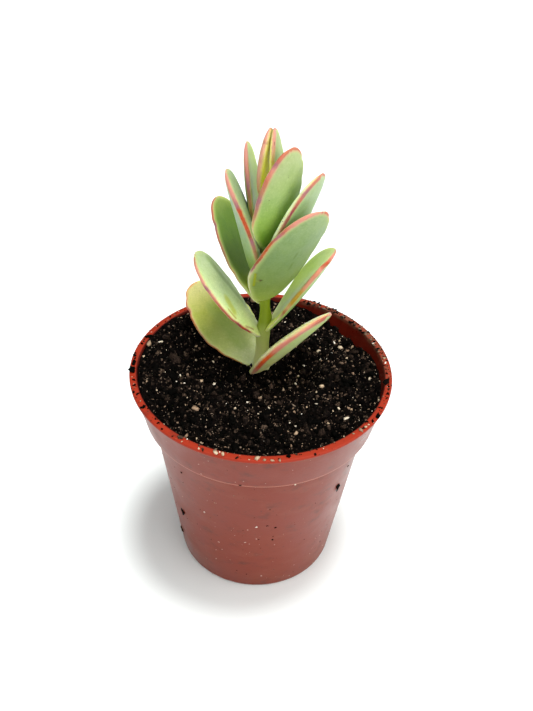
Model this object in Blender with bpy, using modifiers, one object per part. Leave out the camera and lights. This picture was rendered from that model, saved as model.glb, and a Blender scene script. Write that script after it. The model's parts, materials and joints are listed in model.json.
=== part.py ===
"""A small kalanchoe, freshly rooted, in a thin plastic nursery pot of 60 mm.

Metres, +Z up. The origin is the centre of the pot's foot, on the surface that it stands on. The
plant's front, the side from which most of its leaves are seen flat or edge-on, faces -Y.
"""
import math

import bmesh
import bpy
from mathutils import Quaternion, Vector, noise

MM = 0.001
GAP = 0.3 * MM  # between pieces that touch in the real thing
MERGE = 0.01 * MM
X_AXIS = Vector((1, 0, 0))
Z_AXIS = Vector((0, 0, 1))

# Pot
POT_HEIGHT = 55 * MM
LIP_RADIUS = 30 * MM
LIP_HEIGHT = 0.8 * MM
LIP_WIDTH = 1.7 * MM
COLLAR_HEIGHT = 11 * MM
COLLAR_TOP_RADIUS = 29.3 * MM
COLLAR_FOOT_RADIUS = 27 * MM
BODY_TOP_RADIUS = 25.3 * MM
FOOT_RADIUS = 19.2 * MM
WALL = 0.8 * MM
FLOOR = 1 * MM
FOOT_RING_HEIGHT = 0.8 * MM
FOOT_RING_WIDTH = 1.6 * MM
EDGE_ROUNDING = 0.4 * MM
POT_SIDES = 48
DRAIN_HOLE_RADIUS = 1.9 * MM
DRAIN_CIRCLE_RADIUS = 11 * MM
DRAIN_HOLES = 5

# Soil
SOIL_LEVEL = 53.2 * MM
SOIL_SLOPE_X = -0.03  # the soil is heaped to the left and to the back
SOIL_SLOPE_Y = 0.03
STEM_HOLLOW_DEPTH = 2.5 * MM
STEM_HOLLOW_RADIUS = 9 * MM
STEM_HOLLOW_CENTRE = Vector((0, 3, 0)) * MM
DIP_CENTRE = Vector((20, 19, 0)) * MM  # between those two it has sunk below the lip
DIP_DEPTH = 1.6 * MM
DIP_RADIUS = 11 * MM
SOIL_LUMPS = 0.5 * MM
SOIL_LUMP_SPACING = 6 * MM
SOIL_RINGS = 8
SOIL_FOOT_SLANT = 1.5 * MM

# Stem: it leans a little forward, and grows thinner upwards
STEM_FOOT = Vector((0.3, 4.5, 46.5)) * MM
STEM_TIP = Vector((0.8, 2.0, 98)) * MM
STEM_FOOT_RADIUS = 1.75 * MM
STEM_TIP_RADIUS = 0.7 * MM
STEM_WAIST_HEIGHT = 68 * MM  # from here up the stem keeps to the thinner size
STEM_WAIST_RADIUS = 1.05 * MM
NODE_SWELLING = 0.25 * MM
NODE_SWELLING_LENGTH = 2 * MM
NODE_HEIGHTS = [53.5 * MM, 62.3 * MM, 72 * MM, 80 * MM, 86 * MM]
STEM_STEPS = 26
STEM_TIP_ROUNDING = 0.4 * MM

# Roots
ROOT_DEPTH = 30 * MM
TAP_ROOT_RADIUS = 1.45 * MM
TAP_ROOT_SWAY = 1.2 * MM
TAP_ROOT_STEPS = 8
SIDE_ROOTS = 7
SIDE_ROOT_RADIUS = 0.9 * MM
SIDE_ROOT_STEPS = 6
SIDE_ROOT_TURN = 2.4  # radians from one side root to the next, near the golden angle
SIDE_ROOT_SPACING = 0.9 * MM  # down the tap root
SIDE_ROOT_TOP = 2.5 * MM  # the highest one's depth under the stem's foot
SIDE_ROOT_REACH = 9 * MM
SIDE_ROOT_REACH_VARIATION = 3 * MM
ROOT_TIP_RADIUS = 0.35 * MM

# Leaves
LEAF_TIP_THINNING = 0.55  # the blade's thickness at the tip, as a share of that at the base
LEAF_MARGIN_THICKNESS = 0.9 * MM
LEAF_BASE_ROUNDING = 0.08  # share of the length over which the base is rounded off
LEAF_SHOULDER = 1.3  # over 1, the blade stays narrow at first and then widens
LEAF_TIP_FULLNESS = 2.3  # the front of the outline is a superellipse: 2 is a plain ellipse
LEAF_TIP_ROUNDNESS = 2.1
LEAF_END_FULLNESS = 8  # even power by which the thickness runs out at the base and at the tip
LEAF_STEPS = 40  # along the middle line
LEAF_SIDES = 16
LEAF_RINGS = 12

GREEN = (0.42, 0.55, 0.30, 1)
TERRACOTTA = (0.40, 0.11, 0.07, 1)
PEAT = (0.025, 0.018, 0.014, 1)
STEM_GREEN = (0.40, 0.48, 0.16, 1)
ROOT_CREAM = (0.62, 0.52, 0.36, 1)


def material(name, color, roughness):
    made = bpy.data.materials.new(name)
    made.use_nodes = True
    shader = made.node_tree.nodes["Principled BSDF"]
    shader.inputs["Base Color"].default_value = color
    shader.inputs["Roughness"].default_value = roughness
    shader.inputs["Metallic"].default_value = 0
    return made


def add_object(name, mesh, collection, finish=None):
    made = bpy.data.objects.new(name, mesh)
    collection.objects.link(made)
    if finish:
        mesh.materials.append(finish)
    return made


def as_cutter(made):
    made.hide_render = True
    made.display_type = "WIRE"
    return made


def cut(target, cutter):
    boolean = target.modifiers.new("cut_" + cutter.name, "BOOLEAN")
    boolean.operation = "DIFFERENCE"
    boolean.solver = "EXACT"
    boolean.object = cutter


def evaluated_mesh(source, name):
    """The object's evaluated mesh, welded, at its place in the world. The object is removed."""
    bpy.context.view_layer.update()
    mesh = bpy.data.meshes.new_from_object(source.evaluated_get(bpy.context.evaluated_depsgraph_get()))
    mesh.name = name
    mesh.transform(source.matrix_world)
    bpy.data.objects.remove(source)
    shape = bmesh.new()
    shape.from_mesh(mesh)
    bmesh.ops.remove_doubles(shape, verts=shape.verts, dist=MERGE)
    shape.to_mesh(mesh)
    shape.free()
    return mesh


def turned(name, profile, collection, finish=None):
    """A turned shape: its profile runs from the axis up the inside, and down the outside at +X."""
    mesh = bpy.data.meshes.new(name)
    edges = [(i, i + 1) for i in range(len(profile) - 1)]
    mesh.from_pydata([(r, 0, z) for r, z in profile], edges, [])
    made = add_object(name, mesh, collection, finish)
    screw = made.modifiers.new("turn", "SCREW")
    screw.steps = POT_SIDES
    screw.render_steps = POT_SIDES
    screw.use_merge_vertices = True
    screw.merge_threshold = MERGE
    screw.use_smooth_shade = True
    return made


def smooth(mesh, angle=40):
    mesh.shade_smooth()
    mesh.set_sharp_from_angle(angle=math.radians(angle))


def collar_inner_radius(z):
    """Inner radius of the pot's collar at height z."""
    foot = POT_HEIGHT - COLLAR_HEIGHT + WALL
    share = (z - foot) / (POT_HEIGHT - foot)
    low = COLLAR_FOOT_RADIUS - WALL
    return low + share * (LIP_RADIUS - LIP_WIDTH - low)


def body_outer_radius(z):
    """Outer radius of the pot's tapering body at height z."""
    return FOOT_RADIUS + (BODY_TOP_RADIUS - FOOT_RADIUS) * z / (POT_HEIGHT - COLLAR_HEIGHT)


def pot_profile():
    """Half section of the pot, from the middle of its floor up the inside and down the outside."""
    step = POT_HEIGHT - COLLAR_HEIGHT
    floor_top = FOOT_RING_HEIGHT + FLOOR
    lip_foot = POT_HEIGHT - LIP_HEIGHT
    r = EDGE_ROUNDING
    inside = [
        (0, floor_top),
        (body_outer_radius(floor_top) - WALL - r, floor_top),
        (body_outer_radius(floor_top + r) - WALL, floor_top + r),
        (BODY_TOP_RADIUS - WALL, step + WALL - r),
        (BODY_TOP_RADIUS - WALL + r, step + WALL),
        (collar_inner_radius(step + WALL), step + WALL),
        (LIP_RADIUS - LIP_WIDTH, POT_HEIGHT - r / 2),
        (LIP_RADIUS - LIP_WIDTH + r / 2, POT_HEIGHT),
    ]
    outside = [
        (LIP_RADIUS - r, POT_HEIGHT),
        (LIP_RADIUS, POT_HEIGHT - r),
        (LIP_RADIUS - r / 4, lip_foot),
        (COLLAR_TOP_RADIUS, lip_foot - r / 4),
        (COLLAR_FOOT_RADIUS, step + r),
        (COLLAR_FOOT_RADIUS - r / 2, step),
        (BODY_TOP_RADIUS, step),
        (body_outer_radius(r), r),
        (FOOT_RADIUS - r, 0),
        (FOOT_RADIUS - FOOT_RING_WIDTH, 0),
        (FOOT_RADIUS - FOOT_RING_WIDTH - r / 2, FOOT_RING_HEIGHT),
        (0, FOOT_RING_HEIGHT),
    ]
    return inside + outside


def drain_hole(x, y, name, collection):
    shape = bmesh.new()
    bmesh.ops.create_cone(
        shape,
        cap_ends=True,
        segments=16,
        radius1=DRAIN_HOLE_RADIUS,
        radius2=DRAIN_HOLE_RADIUS,
        depth=4 * FLOOR,
    )
    mesh = bpy.data.meshes.new(name)
    shape.to_mesh(mesh)
    shape.free()
    hole = as_cutter(add_object(name, mesh, collection))
    hole.location = (x, y, FOOT_RING_HEIGHT + FLOOR / 2)
    return hole


def build_pot(parts, cutters):
    pot = turned("pot", pot_profile(), parts, material("terracotta_plastic", TERRACOTTA, 0.45))
    cut(pot, drain_hole(0, 0, "drain_hole_middle", cutters))
    for i in range(DRAIN_HOLES):
        angle = math.tau * i / DRAIN_HOLES
        x = DRAIN_CIRCLE_RADIUS * math.cos(angle)
        y = DRAIN_CIRCLE_RADIUS * math.sin(angle)
        cut(pot, drain_hole(x, y, f"drain_hole_{i}", cutters))


def stem_point(z):
    """The stem's axis at height z."""
    share = (z - STEM_FOOT.z) / (STEM_TIP.z - STEM_FOOT.z)
    return STEM_FOOT.lerp(STEM_TIP, share)


def stem_radius(z):
    if z < STEM_WAIST_HEIGHT:
        share = (z - STEM_FOOT.z) / (STEM_WAIST_HEIGHT - STEM_FOOT.z)
        radius = STEM_FOOT_RADIUS + (STEM_WAIST_RADIUS - STEM_FOOT_RADIUS) * share ** 2
    else:
        share = (z - STEM_WAIST_HEIGHT) / (STEM_TIP.z - STEM_WAIST_HEIGHT)
        radius = STEM_WAIST_RADIUS + (STEM_TIP_RADIUS - STEM_WAIST_RADIUS) * share
    swelling = sum(math.exp(-(((z - h) / NODE_SWELLING_LENGTH) ** 2)) for h in NODE_HEIGHTS)
    return radius + NODE_SWELLING * swelling


def tube(name, points, radii, collection):
    """A tapering round tube along the points, made a mesh."""
    curve = bpy.data.curves.new(name, "CURVE")
    curve.dimensions = "3D"
    curve.bevel_depth = 1
    curve.bevel_resolution = 2
    curve.use_fill_caps = True
    spline = curve.splines.new("POLY")
    spline.points.add(len(points) - 1)
    for spot, place, radius in zip(spline.points, points, radii):
        spot.co = (*place, 1)
        spot.radius = radius
    made = bpy.data.objects.new(name, curve)
    collection.objects.link(made)
    return add_object(name + "_mesh", evaluated_mesh(made, name), collection)


def stem_tube(name, collection, extra=0.0):
    """The stem, made larger all round by extra."""
    rise = (STEM_TIP.z - STEM_FOOT.z) / STEM_STEPS
    heights = [STEM_FOOT.z + rise * i for i in range(STEM_STEPS + 1)]
    points = [stem_point(z) for z in heights]
    radii = [stem_radius(z) + extra for z in heights]
    if extra:
        points = [points[0] - Z_AXIS * extra] + points + [points[-1] + Z_AXIS * extra]
        radii = [radii[0]] + radii + [radii[-1]]
    else:
        points.append(points[-1] + Z_AXIS * STEM_TIP_ROUNDING)
        radii.append(STEM_TIP_RADIUS / 2)
    return tube(name, points, radii, collection)


def build_stem(parts):
    stem = stem_tube("stem", parts)
    stem.name = "stem"
    stem.data.materials.append(material("kalanchoe_stem", STEM_GREEN, 0.5))
    smooth(stem.data)
    return stem


def side_root(number):
    """One side root: it leaves the stem's foot, spreads outwards and turns down."""
    reach = SIDE_ROOT_REACH + SIDE_ROOT_REACH_VARIATION * math.sin(1.7 * number)
    depth = ROOT_DEPTH * (0.55 + 0.35 * math.cos(2.3 * number))
    top = STEM_FOOT - Z_AXIS * (SIDE_ROOT_TOP + SIDE_ROOT_SPACING * number)
    points = []
    for i in range(SIDE_ROOT_STEPS + 1):
        share = i / SIDE_ROOT_STEPS
        swing = SIDE_ROOT_TURN * number + 0.5 * math.sin(3 * share + number)
        out = Vector((math.cos(swing), math.sin(swing), 0)) * reach * math.sin(1.4 * share)
        points.append(top + out - Z_AXIS * depth * share ** 1.6)
    return points


def tap_root():
    """The middle root: it goes on downwards where the stem ends, and sways a little."""
    points = []
    for i in range(TAP_ROOT_STEPS + 1):
        share = i / TAP_ROOT_STEPS
        sway = Vector((math.sin(4 * share), math.cos(3 * share) - 1, 0)) * TAP_ROOT_SWAY
        points.append(STEM_FOOT - Z_AXIS * (GAP + ROOT_DEPTH * share) + sway)
    return points


def root_tube(name, points, top_radius, extra, collection):
    fall = (ROOT_TIP_RADIUS - top_radius) / (len(points) - 1)
    radii = [top_radius + fall * i + extra for i in range(len(points))]
    return tube(name, points, radii, collection)


def root_tubes(name, collection, extra=0.0):
    """The tap root and the side roots, made larger all round by extra."""
    made = [root_tube(name + "_tap", tap_root(), TAP_ROOT_RADIUS, extra, collection)]
    for number in range(SIDE_ROOTS):
        points = side_root(number)
        made.append(root_tube(f"{name}_side_{number}", points, SIDE_ROOT_RADIUS, extra, collection))
    return made


def join_all(target, others):
    for other in others:
        union = target.modifiers.new("join_" + other.name, "BOOLEAN")
        union.operation = "UNION"
        union.solver = "EXACT"
        union.object = as_cutter(other)


def build_roots(parts, cutters):
    tap, *sides = root_tubes("root", cutters)
    join_all(tap, sides)
    cutters.objects.unlink(tap)
    parts.objects.link(tap)
    tap.name = "roots"
    tap.data.materials.append(material("kalanchoe_root", ROOT_CREAM, 0.8))


def soil_top(x, y):
    """Height of the soil's surface: it slopes, sinks round the stem, and is lumpy."""
    away = math.hypot(x - STEM_HOLLOW_CENTRE.x, y - STEM_HOLLOW_CENTRE.y) / STEM_HOLLOW_RADIUS
    hollow = STEM_HOLLOW_DEPTH * math.exp(-(away ** 2))
    to_dip = math.hypot(x - DIP_CENTRE.x, y - DIP_CENTRE.y) / DIP_RADIUS
    dip = DIP_DEPTH * math.exp(-(to_dip ** 2))
    lumps = SOIL_LUMPS * noise.noise(Vector((x, y, 0)) / SOIL_LUMP_SPACING)
    return SOIL_LEVEL + SOIL_SLOPE_X * x + SOIL_SLOPE_Y * y - hollow - dip + lumps


def build_soil(parts, cutters, stem_hole):
    """A turned plug that fills the pot, whose top rings are then moved to the lumpy surface."""
    step = POT_HEIGHT - COLLAR_HEIGHT
    floor_top = FOOT_RING_HEIGHT + FLOOR
    rim = collar_inner_radius(SOIL_LEVEL) - GAP
    top = [(rim * i / SOIL_RINGS, SOIL_LEVEL) for i in range(SOIL_RINGS + 1)]
    side = [
        (collar_inner_radius(step + WALL) - 2 * GAP, step + WALL + GAP),
        (BODY_TOP_RADIUS - WALL - GAP, step + WALL + GAP),
        (BODY_TOP_RADIUS - WALL - GAP, step),
        (body_outer_radius(floor_top + SOIL_FOOT_SLANT) - WALL - GAP, floor_top + SOIL_FOOT_SLANT),
        (body_outer_radius(floor_top) - WALL - SOIL_FOOT_SLANT, floor_top + GAP),
        (0, floor_top + GAP),
    ]
    plug = turned("soil_plug", top + side, cutters)
    mesh = evaluated_mesh(plug, "potting_soil")
    for vertex in mesh.vertices:
        if vertex.co.z > SOIL_LEVEL - MERGE:
            x, y = vertex.co.x, vertex.co.y
            vertex.co.z = soil_top(x, y)
            if math.hypot(x, y) > rim - MERGE:
                grown = (collar_inner_radius(vertex.co.z) - GAP) / rim
                vertex.co.x *= grown
                vertex.co.y *= grown
    smooth(mesh, 60)
    soil = add_object("potting_soil", mesh, parts, material("potting_soil", PEAT, 0.95))
    tap, *sides = root_tubes("root_room", cutters, GAP)
    for cutter in (stem_hole, tap, *sides):
        cut(soil, as_cutter(cutter))


class Leaf:
    """One leaf, grown from the stem: angles in degrees, lengths in millimetres.

    height: of its base on the stem          azimuth, rise: which way its middle points
    length, width: of the blade              roll: turn about its own length
    bend: curl towards the upper side        sweep: curve within the blade
    twist: roll gained from base to tip      cup: how far the margins stand up
    seat: base's distance from the stem's axis, on the side seat_azimuth
    overhang: how far the base reaches back past its seat
    base: width of the blade's base, as a share        widest: where it is widest, as a share
    thickness: at the midrib, near the base
    """

    def __init__(self, name, height, azimuth, rise, length, width, roll=0, bend=10, sweep=0,
                 twist=5, cup=0.9, seat=1, overhang=0.3, base=0.35, widest=0.57, thickness=2.7,
                 seat_azimuth=None):
        self.name = name
        self.length = length * MM
        self.half_width = width * MM / 2
        self.cup = cup * MM
        self.thickness = thickness * MM
        self.bend, self.sweep, self.twist = (math.radians(a) for a in (bend, sweep, twist))
        self.base, self.widest = base, widest
        turn = Quaternion(Z_AXIS, math.radians(azimuth)) @ Quaternion(-Vector((0, 1, 0)), math.radians(rise))
        along = turn @ X_AXIS
        spin = Quaternion(along, math.radians(roll))
        self.along = along
        self.across = spin @ (turn @ Vector((0, 1, 0)))
        self.up = spin @ (turn @ Z_AXIS)
        side = math.radians(azimuth if seat_azimuth is None else seat_azimuth)
        root = stem_point(height * MM) + Vector((math.cos(side), math.sin(side), 0)) * seat * MM
        self.points = [root - self.directions(0)[0] * overhang * MM]
        for i in range(LEAF_STEPS):
            ahead = self.directions((i + 0.5) / LEAF_STEPS)[0]
            self.points.append(self.points[-1] + ahead * self.length / LEAF_STEPS)

    def directions(self, t):
        """Along, across and up, at share t of the leaf's length."""
        curl = Quaternion(self.across, -self.bend * (t - 0.5))
        along, up = curl @ self.along, curl @ self.up
        sweep = Quaternion(up, self.sweep * (t - 0.5))
        along, across = sweep @ along, sweep @ self.across
        twist = Quaternion(along, self.twist * (t - 0.5))
        return along, twist @ across, twist @ up

    def middle(self, t):
        spot = t * LEAF_STEPS
        i = min(int(spot), LEAF_STEPS - 1)
        return self.points[i].lerp(self.points[i + 1], spot - i)

    def outline(self, t):
        """Half width at share t, as a share of the largest: rounded at the base and at the tip."""
        if t < self.widest:
            grown = math.sin(math.pi / 2 * t / self.widest) ** LEAF_SHOULDER
            width = self.base + (1 - self.base) * grown
            rounding = math.sqrt(1 - (1 - min(t / LEAF_BASE_ROUNDING, 1)) ** 2)
            return width * rounding
        beyond = (t - self.widest) / (1 - self.widest)
        return max(0, 1 - beyond ** LEAF_TIP_FULLNESS) ** (1 / LEAF_TIP_ROUNDNESS)

    def surface(self, t, angle):
        """The point at share t of the length and at angle round the leaf's lens-shaped section."""
        along, across, up = self.directions(t)
        share = self.outline(t)
        half = self.half_width * share
        ends = math.sqrt(max(0, 1 - (2 * t - 1) ** LEAF_END_FULLNESS))
        margin = min(LEAF_MARGIN_THICKNESS / 2, half) * ends
        body = self.thickness * (1 + (LEAF_TIP_THINNING - 1) * t) / 2 * ends
        x = math.cos(angle)
        side = math.sin(angle)
        flat = min(0.98, max(0.2, 1 - margin / max(half, MERGE)))
        edge = margin * math.sqrt(max(0, 1 - (max(0, abs(x) - flat) / (1 - flat)) ** 2))
        depth = edge + max(0, body - margin) * (1 - x * x) * share
        lift = self.cup * (share * x) ** 2
        return self.middle(t) + across * half * x + up * (lift + math.copysign(depth, side))


# Opposite pairs, numbered upwards. Each pair stands across the one below: the odd pairs lie between
# front right and back left, the even ones between left and right. They rise more steeply upwards.
LEAVES = [
    Leaf("leaf_1_left", 52.5, 137, 28, 25.5, 15, roll=-6, bend=14, sweep=-8, twist=12, widest=0.55),
    Leaf("leaf_1_right", 54.5, -22, 53, 27, 13, roll=-13, bend=-7, sweep=5, twist=0, cup=0.1,
         seat=2, overhang=4, base=0.5, widest=0.53, thickness=4, seat_azimuth=-80),
    Leaf("leaf_2_left", 62.5, 180, 54, 25.5, 13, sweep=-7, twist=0, cup=0.4, seat=1.3, overhang=1,
         base=0.3, widest=0.6),
    Leaf("leaf_2_right", 63, 23, 49, 24.5, 13, roll=-28, bend=2, sweep=7, cup=1.4, seat=0.3,
         widest=0.62),
    Leaf("leaf_3_front", 74, -30, 65, 28.5, 15, roll=-24, bend=4, sweep=12, twist=0, cup=1.6,
         seat=1.7, overhang=1.5, base=0.42, widest=0.36, seat_azimuth=-80),
    Leaf("leaf_3_back", 70.5, 135, 52, 25.5, 13, roll=22, bend=12, twist=7, cup=0.7),
    Leaf("leaf_4_left", 79.5, 187, 75, 25, 12, roll=4, bend=-10, sweep=-8, twist=-16, cup=0.3,
         seat=2.7, overhang=0.3, base=0.5, thickness=3),
    Leaf("leaf_4_right", 79.5, -15, 70, 26.5, 14.5, roll=-15, bend=6, sweep=9, widest=0.54),
    Leaf("leaf_5_front", 87.5, -55, 77, 25, 13, roll=13, sweep=5, seat=1.5, overhang=0.8, base=0.43,
         widest=0.42, seat_azimuth=-80),
    Leaf("leaf_5_back", 84, 135, 74, 24, 12.5, roll=39, bend=12, sweep=-5, twist=7, cup=0.6),
    Leaf("leaf_6_left", 96.5, 181, 93, 15, 8.5, roll=-12, bend=17, sweep=-7, twist=2, cup=0.2,
         seat=1.5, overhang=-0.5),
    Leaf("leaf_6_right", 97, 3, 94, 15, 8.5, roll=-17, bend=15, sweep=3, twist=20, cup=0.2,
         overhang=-0.4, thickness=2),
]


def build_leaf(leaf, parts, finish, stem_hole):
    """A sphere drawn out into a leaf: its poles are the base and the tip."""
    shape = bmesh.new()
    bmesh.ops.create_uvsphere(shape, u_segments=LEAF_SIDES, v_segments=LEAF_RINGS, radius=1)
    for vertex in shape.verts:
        t = (1 - vertex.co.z) / 2
        t = min(1, max(0, t))
        angle = math.atan2(vertex.co.y, vertex.co.x)
        vertex.co = leaf.surface(t, angle)
    bmesh.ops.recalc_face_normals(shape, faces=shape.faces)
    mesh = bpy.data.meshes.new(leaf.name)
    shape.to_mesh(mesh)
    shape.free()
    smooth(mesh, 50)
    made = add_object(leaf.name, mesh, parts, finish)
    cut(made, stem_hole)


def main():
    for old in list(bpy.data.objects):
        bpy.data.objects.remove(old)
    parts = bpy.data.collections.new("potted_kalanchoe")
    cutters = bpy.data.collections.new("cutters")
    for collection in (parts, cutters):
        bpy.context.scene.collection.children.link(collection)
    build_pot(parts, cutters)
    build_stem(parts)
    build_roots(parts, cutters)
    stem_hole = as_cutter(stem_tube("stem_hole", cutters, GAP))
    build_soil(parts, cutters, stem_hole)
    finish = material("kalanchoe_leaf", GREEN, 0.5)
    for leaf in LEAVES:
        build_leaf(leaf, parts, finish, stem_hole)


main()
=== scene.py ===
"""A young kalanchoe in a terracotta-coloured nursery pot of 60 mm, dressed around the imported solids.

Lengths are in metres. +Z is up, -Y is the plant's front, and the origin is under the pot's middle.
"""
import json
import math
import random

import bmesh
import bpy
import numpy as np
from mathutils import Matrix, Quaternion, Vector, noise

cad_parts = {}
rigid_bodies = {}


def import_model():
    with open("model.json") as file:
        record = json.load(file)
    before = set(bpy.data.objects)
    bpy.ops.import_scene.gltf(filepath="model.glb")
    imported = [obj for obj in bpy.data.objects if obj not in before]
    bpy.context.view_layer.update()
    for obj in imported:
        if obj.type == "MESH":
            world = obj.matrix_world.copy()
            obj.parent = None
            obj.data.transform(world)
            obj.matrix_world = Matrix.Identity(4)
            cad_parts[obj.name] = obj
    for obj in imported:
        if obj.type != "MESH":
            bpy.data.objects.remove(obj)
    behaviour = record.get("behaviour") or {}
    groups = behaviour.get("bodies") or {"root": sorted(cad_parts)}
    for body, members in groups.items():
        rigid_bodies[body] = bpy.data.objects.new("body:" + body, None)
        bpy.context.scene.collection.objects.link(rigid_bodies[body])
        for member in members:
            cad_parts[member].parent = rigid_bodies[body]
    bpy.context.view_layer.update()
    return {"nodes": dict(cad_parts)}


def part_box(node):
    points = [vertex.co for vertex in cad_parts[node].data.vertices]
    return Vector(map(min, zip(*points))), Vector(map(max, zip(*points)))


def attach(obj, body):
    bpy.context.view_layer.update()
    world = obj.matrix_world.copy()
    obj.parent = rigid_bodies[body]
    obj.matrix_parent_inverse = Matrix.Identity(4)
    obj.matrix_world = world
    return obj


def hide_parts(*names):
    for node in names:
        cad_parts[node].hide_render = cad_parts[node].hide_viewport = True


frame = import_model()

# ---------------------------------------------------------------------------------------------
# Camera: held by hand just in front of the plant, a quarter of a metre away, looking down on the
# soil and turned a little to one side.
MM = 0.001
X_AXIS, Y_AXIS, Z_AXIS = Vector((1, 0, 0)), Vector((0, 1, 0)), Vector((0, 0, 1))
CAMERA_PLACE = Vector((1.1, -159, 186)) * MM
CAMERA_PITCH = math.radians(38.7)
CAMERA_ROLL = math.radians(2.3)
LENS_MM = 45.57
SENSOR_HEIGHT_MM = 36


def new_object(name, data, finish=None):
    """An object of the scene, whose mesh gets the finish."""
    made = bpy.data.objects.new(name, data)
    bpy.context.scene.collection.objects.link(made)
    if finish:
        data.materials.append(finish)
    return made


ahead = Vector((0, math.cos(CAMERA_PITCH), -math.sin(CAMERA_PITCH)))
level_up = Vector((0, math.sin(CAMERA_PITCH), math.cos(CAMERA_PITCH)))
roll = Quaternion(ahead, -CAMERA_ROLL)
right, up = roll @ X_AXIS, roll @ level_up
camera_data = bpy.data.cameras.new("camera")
camera_data.sensor_fit = "VERTICAL"
camera_data.sensor_height = SENSOR_HEIGHT_MM
camera_data.lens = LENS_MM
camera_data.clip_start = 10 * MM
camera = new_object("camera", camera_data)
placing = Matrix((right, up, -ahead)).transposed().to_4x4()
placing.translation = CAMERA_PLACE
camera.matrix_world = placing
bpy.context.scene.camera = camera

# ---------------------------------------------------------------------------------------------
# Table and light: a white table in a bright room. A large soft light hangs above, a little to the
# right, and weaker, softer ones stand on the right and in front. Behind the plant it is dim.
TABLE_SIZE = 4.0
TABLE_WHITE = "#F8FEFC"
ROOM_WHITE = "#FFFFFF"
ROOM_BRIGHT_SIDE = Vector((0.5, -0.55, 0.7))
ROOM_BRIGHTNESS = 0.95
ROOM_DIMNESS = 0.14
SUNS = (  # name, direction, strength, softness in degrees
    ("key_light", Vector((0.09, 0.01, 1.0)), 2.45, 14),
    ("side_light", Vector((0.9, -0.45, 0.7)), 0.8, 60),
    ("fill_light", Vector((-0.1, -1.0, 0.45)), 0.45, 90),
)


def linear(colour):
    """The linear colour of an sRGB hex value."""
    shares = [int(colour[i:i + 2], 16) / 255 for i in (1, 3, 5)]
    return [s / 12.92 if s <= 0.04045 else ((s + 0.055) / 1.055) ** 2.4 for s in shares] + [1]


def set_inputs(node, values):
    """Sets a node's inputs, each to a value or to the socket that feeds it."""
    for key, value in values.items():
        if isinstance(value, bpy.types.NodeSocket):
            node.id_data.links.new(value, node.inputs[key])
        else:
            node.inputs[key].default_value = value


def add_node(kind, inputs, output=0, ramp=(), **settings):
    """One output of a new node, in the tree that is being built."""
    made = tree.nodes.new(kind)
    for name, value in settings.items():
        setattr(made, name, value)
    set_inputs(made, inputs)
    for i, (place, colour) in enumerate(ramp):
        points = made.color_ramp.elements
        point = points[i] if i < len(points) else points.new(place)
        point.position = place
        point.color = linear(colour)
    return made.outputs[output]


def calc(operation, *values):
    """A Math node, or a Vector Math node for a dot product or a length."""
    if operation in ("DOT_PRODUCT", "LENGTH"):
        return add_node("ShaderNodeVectorMath", dict(enumerate(values)), "Value", operation=operation)
    return add_node("ShaderNodeMath", dict(enumerate(values)), operation=operation)


def ranged(value, low, high, first=0.0, last=1.0, kind="SMOOTHSTEP"):
    """Runs from first to last while the value runs from low to high."""
    inputs = {0: value, 1: low, 2: high, 3: first, 4: last}
    return add_node("ShaderNodeMapRange", inputs, interpolation_type=kind)


def new_material(name):
    """An empty material, its tree, its Principled shader, and the object's own coordinates."""
    made = bpy.data.materials.new(name)
    made.use_nodes = True
    nodes = made.node_tree.nodes
    place = nodes.new("ShaderNodeTexCoord").outputs["Object"]
    return made, made.node_tree, nodes["Principled BSDF"], place


for name, direction, strength, softness in SUNS:
    light = bpy.data.lights.new(name, "SUN")
    light.energy = strength
    light.angle = math.radians(softness)
    new_object(name, light).rotation_euler = direction.to_track_quat("Z", "Y").to_euler()
room = bpy.data.worlds.new("room")
room.use_nodes = True
tree = room.node_tree
outwards = tree.nodes.new("ShaderNodeTexCoord").outputs["Generated"]
towards = calc("DOT_PRODUCT", outwards, ROOM_BRIGHT_SIDE.normalized())
brightness = ranged(towards, -0.1, 0.8, ROOM_DIMNESS, ROOM_BRIGHTNESS, "LINEAR")
set_inputs(tree.nodes["Background"], {"Color": linear(ROOM_WHITE), "Strength": brightness})
bpy.context.scene.world = room
bpy.context.scene.view_settings.view_transform = "Standard"

bpy.ops.mesh.primitive_plane_add(size=TABLE_SIZE)
table = bpy.context.object
table.name = "table"
painted_board, tree, shader, place = new_material("painted_table_board")
set_inputs(shader, {"Base Color": linear(TABLE_WHITE), "Roughness": 0.9})
table.data.materials.append(painted_board)

# ---------------------------------------------------------------------------------------------
# Pot: a thin injection-moulded nursery pot. It has a flat lip, a flared collar that lets pots
# stack, and a tapering body that stands on a foot ring. Six holes in its floor drain water.
pot_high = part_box("pot")[1]
POT_HEIGHT = pot_high.z
LIP_RADIUS = pot_high.x
LIP_HEIGHT = 0.8 * MM
LIP_WIDTH = 1.7 * MM
COLLAR_HEIGHT = 11 * MM
COLLAR_TOP_RADIUS = 29.3 * MM
COLLAR_FOOT_RADIUS = 27 * MM
BODY_TOP_RADIUS = 25.3 * MM
FOOT_RADIUS = 19.2 * MM
WALL = 0.8 * MM
FLOOR = 1 * MM
FOOT_RING_HEIGHT = 0.8 * MM
FOOT_RING_WIDTH = 1.6 * MM
POT_SIDES = 192
ROUNDING_STEPS = 6
DRAIN_HOLE_RADIUS = 1.9 * MM
DRAIN_CIRCLE_RADIUS = 11 * MM
DRAIN_CIRCLE_HOLES = 5
DRAIN_HOLE_SIDES = 40
SHARP_EDGE = math.radians(35)


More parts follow.
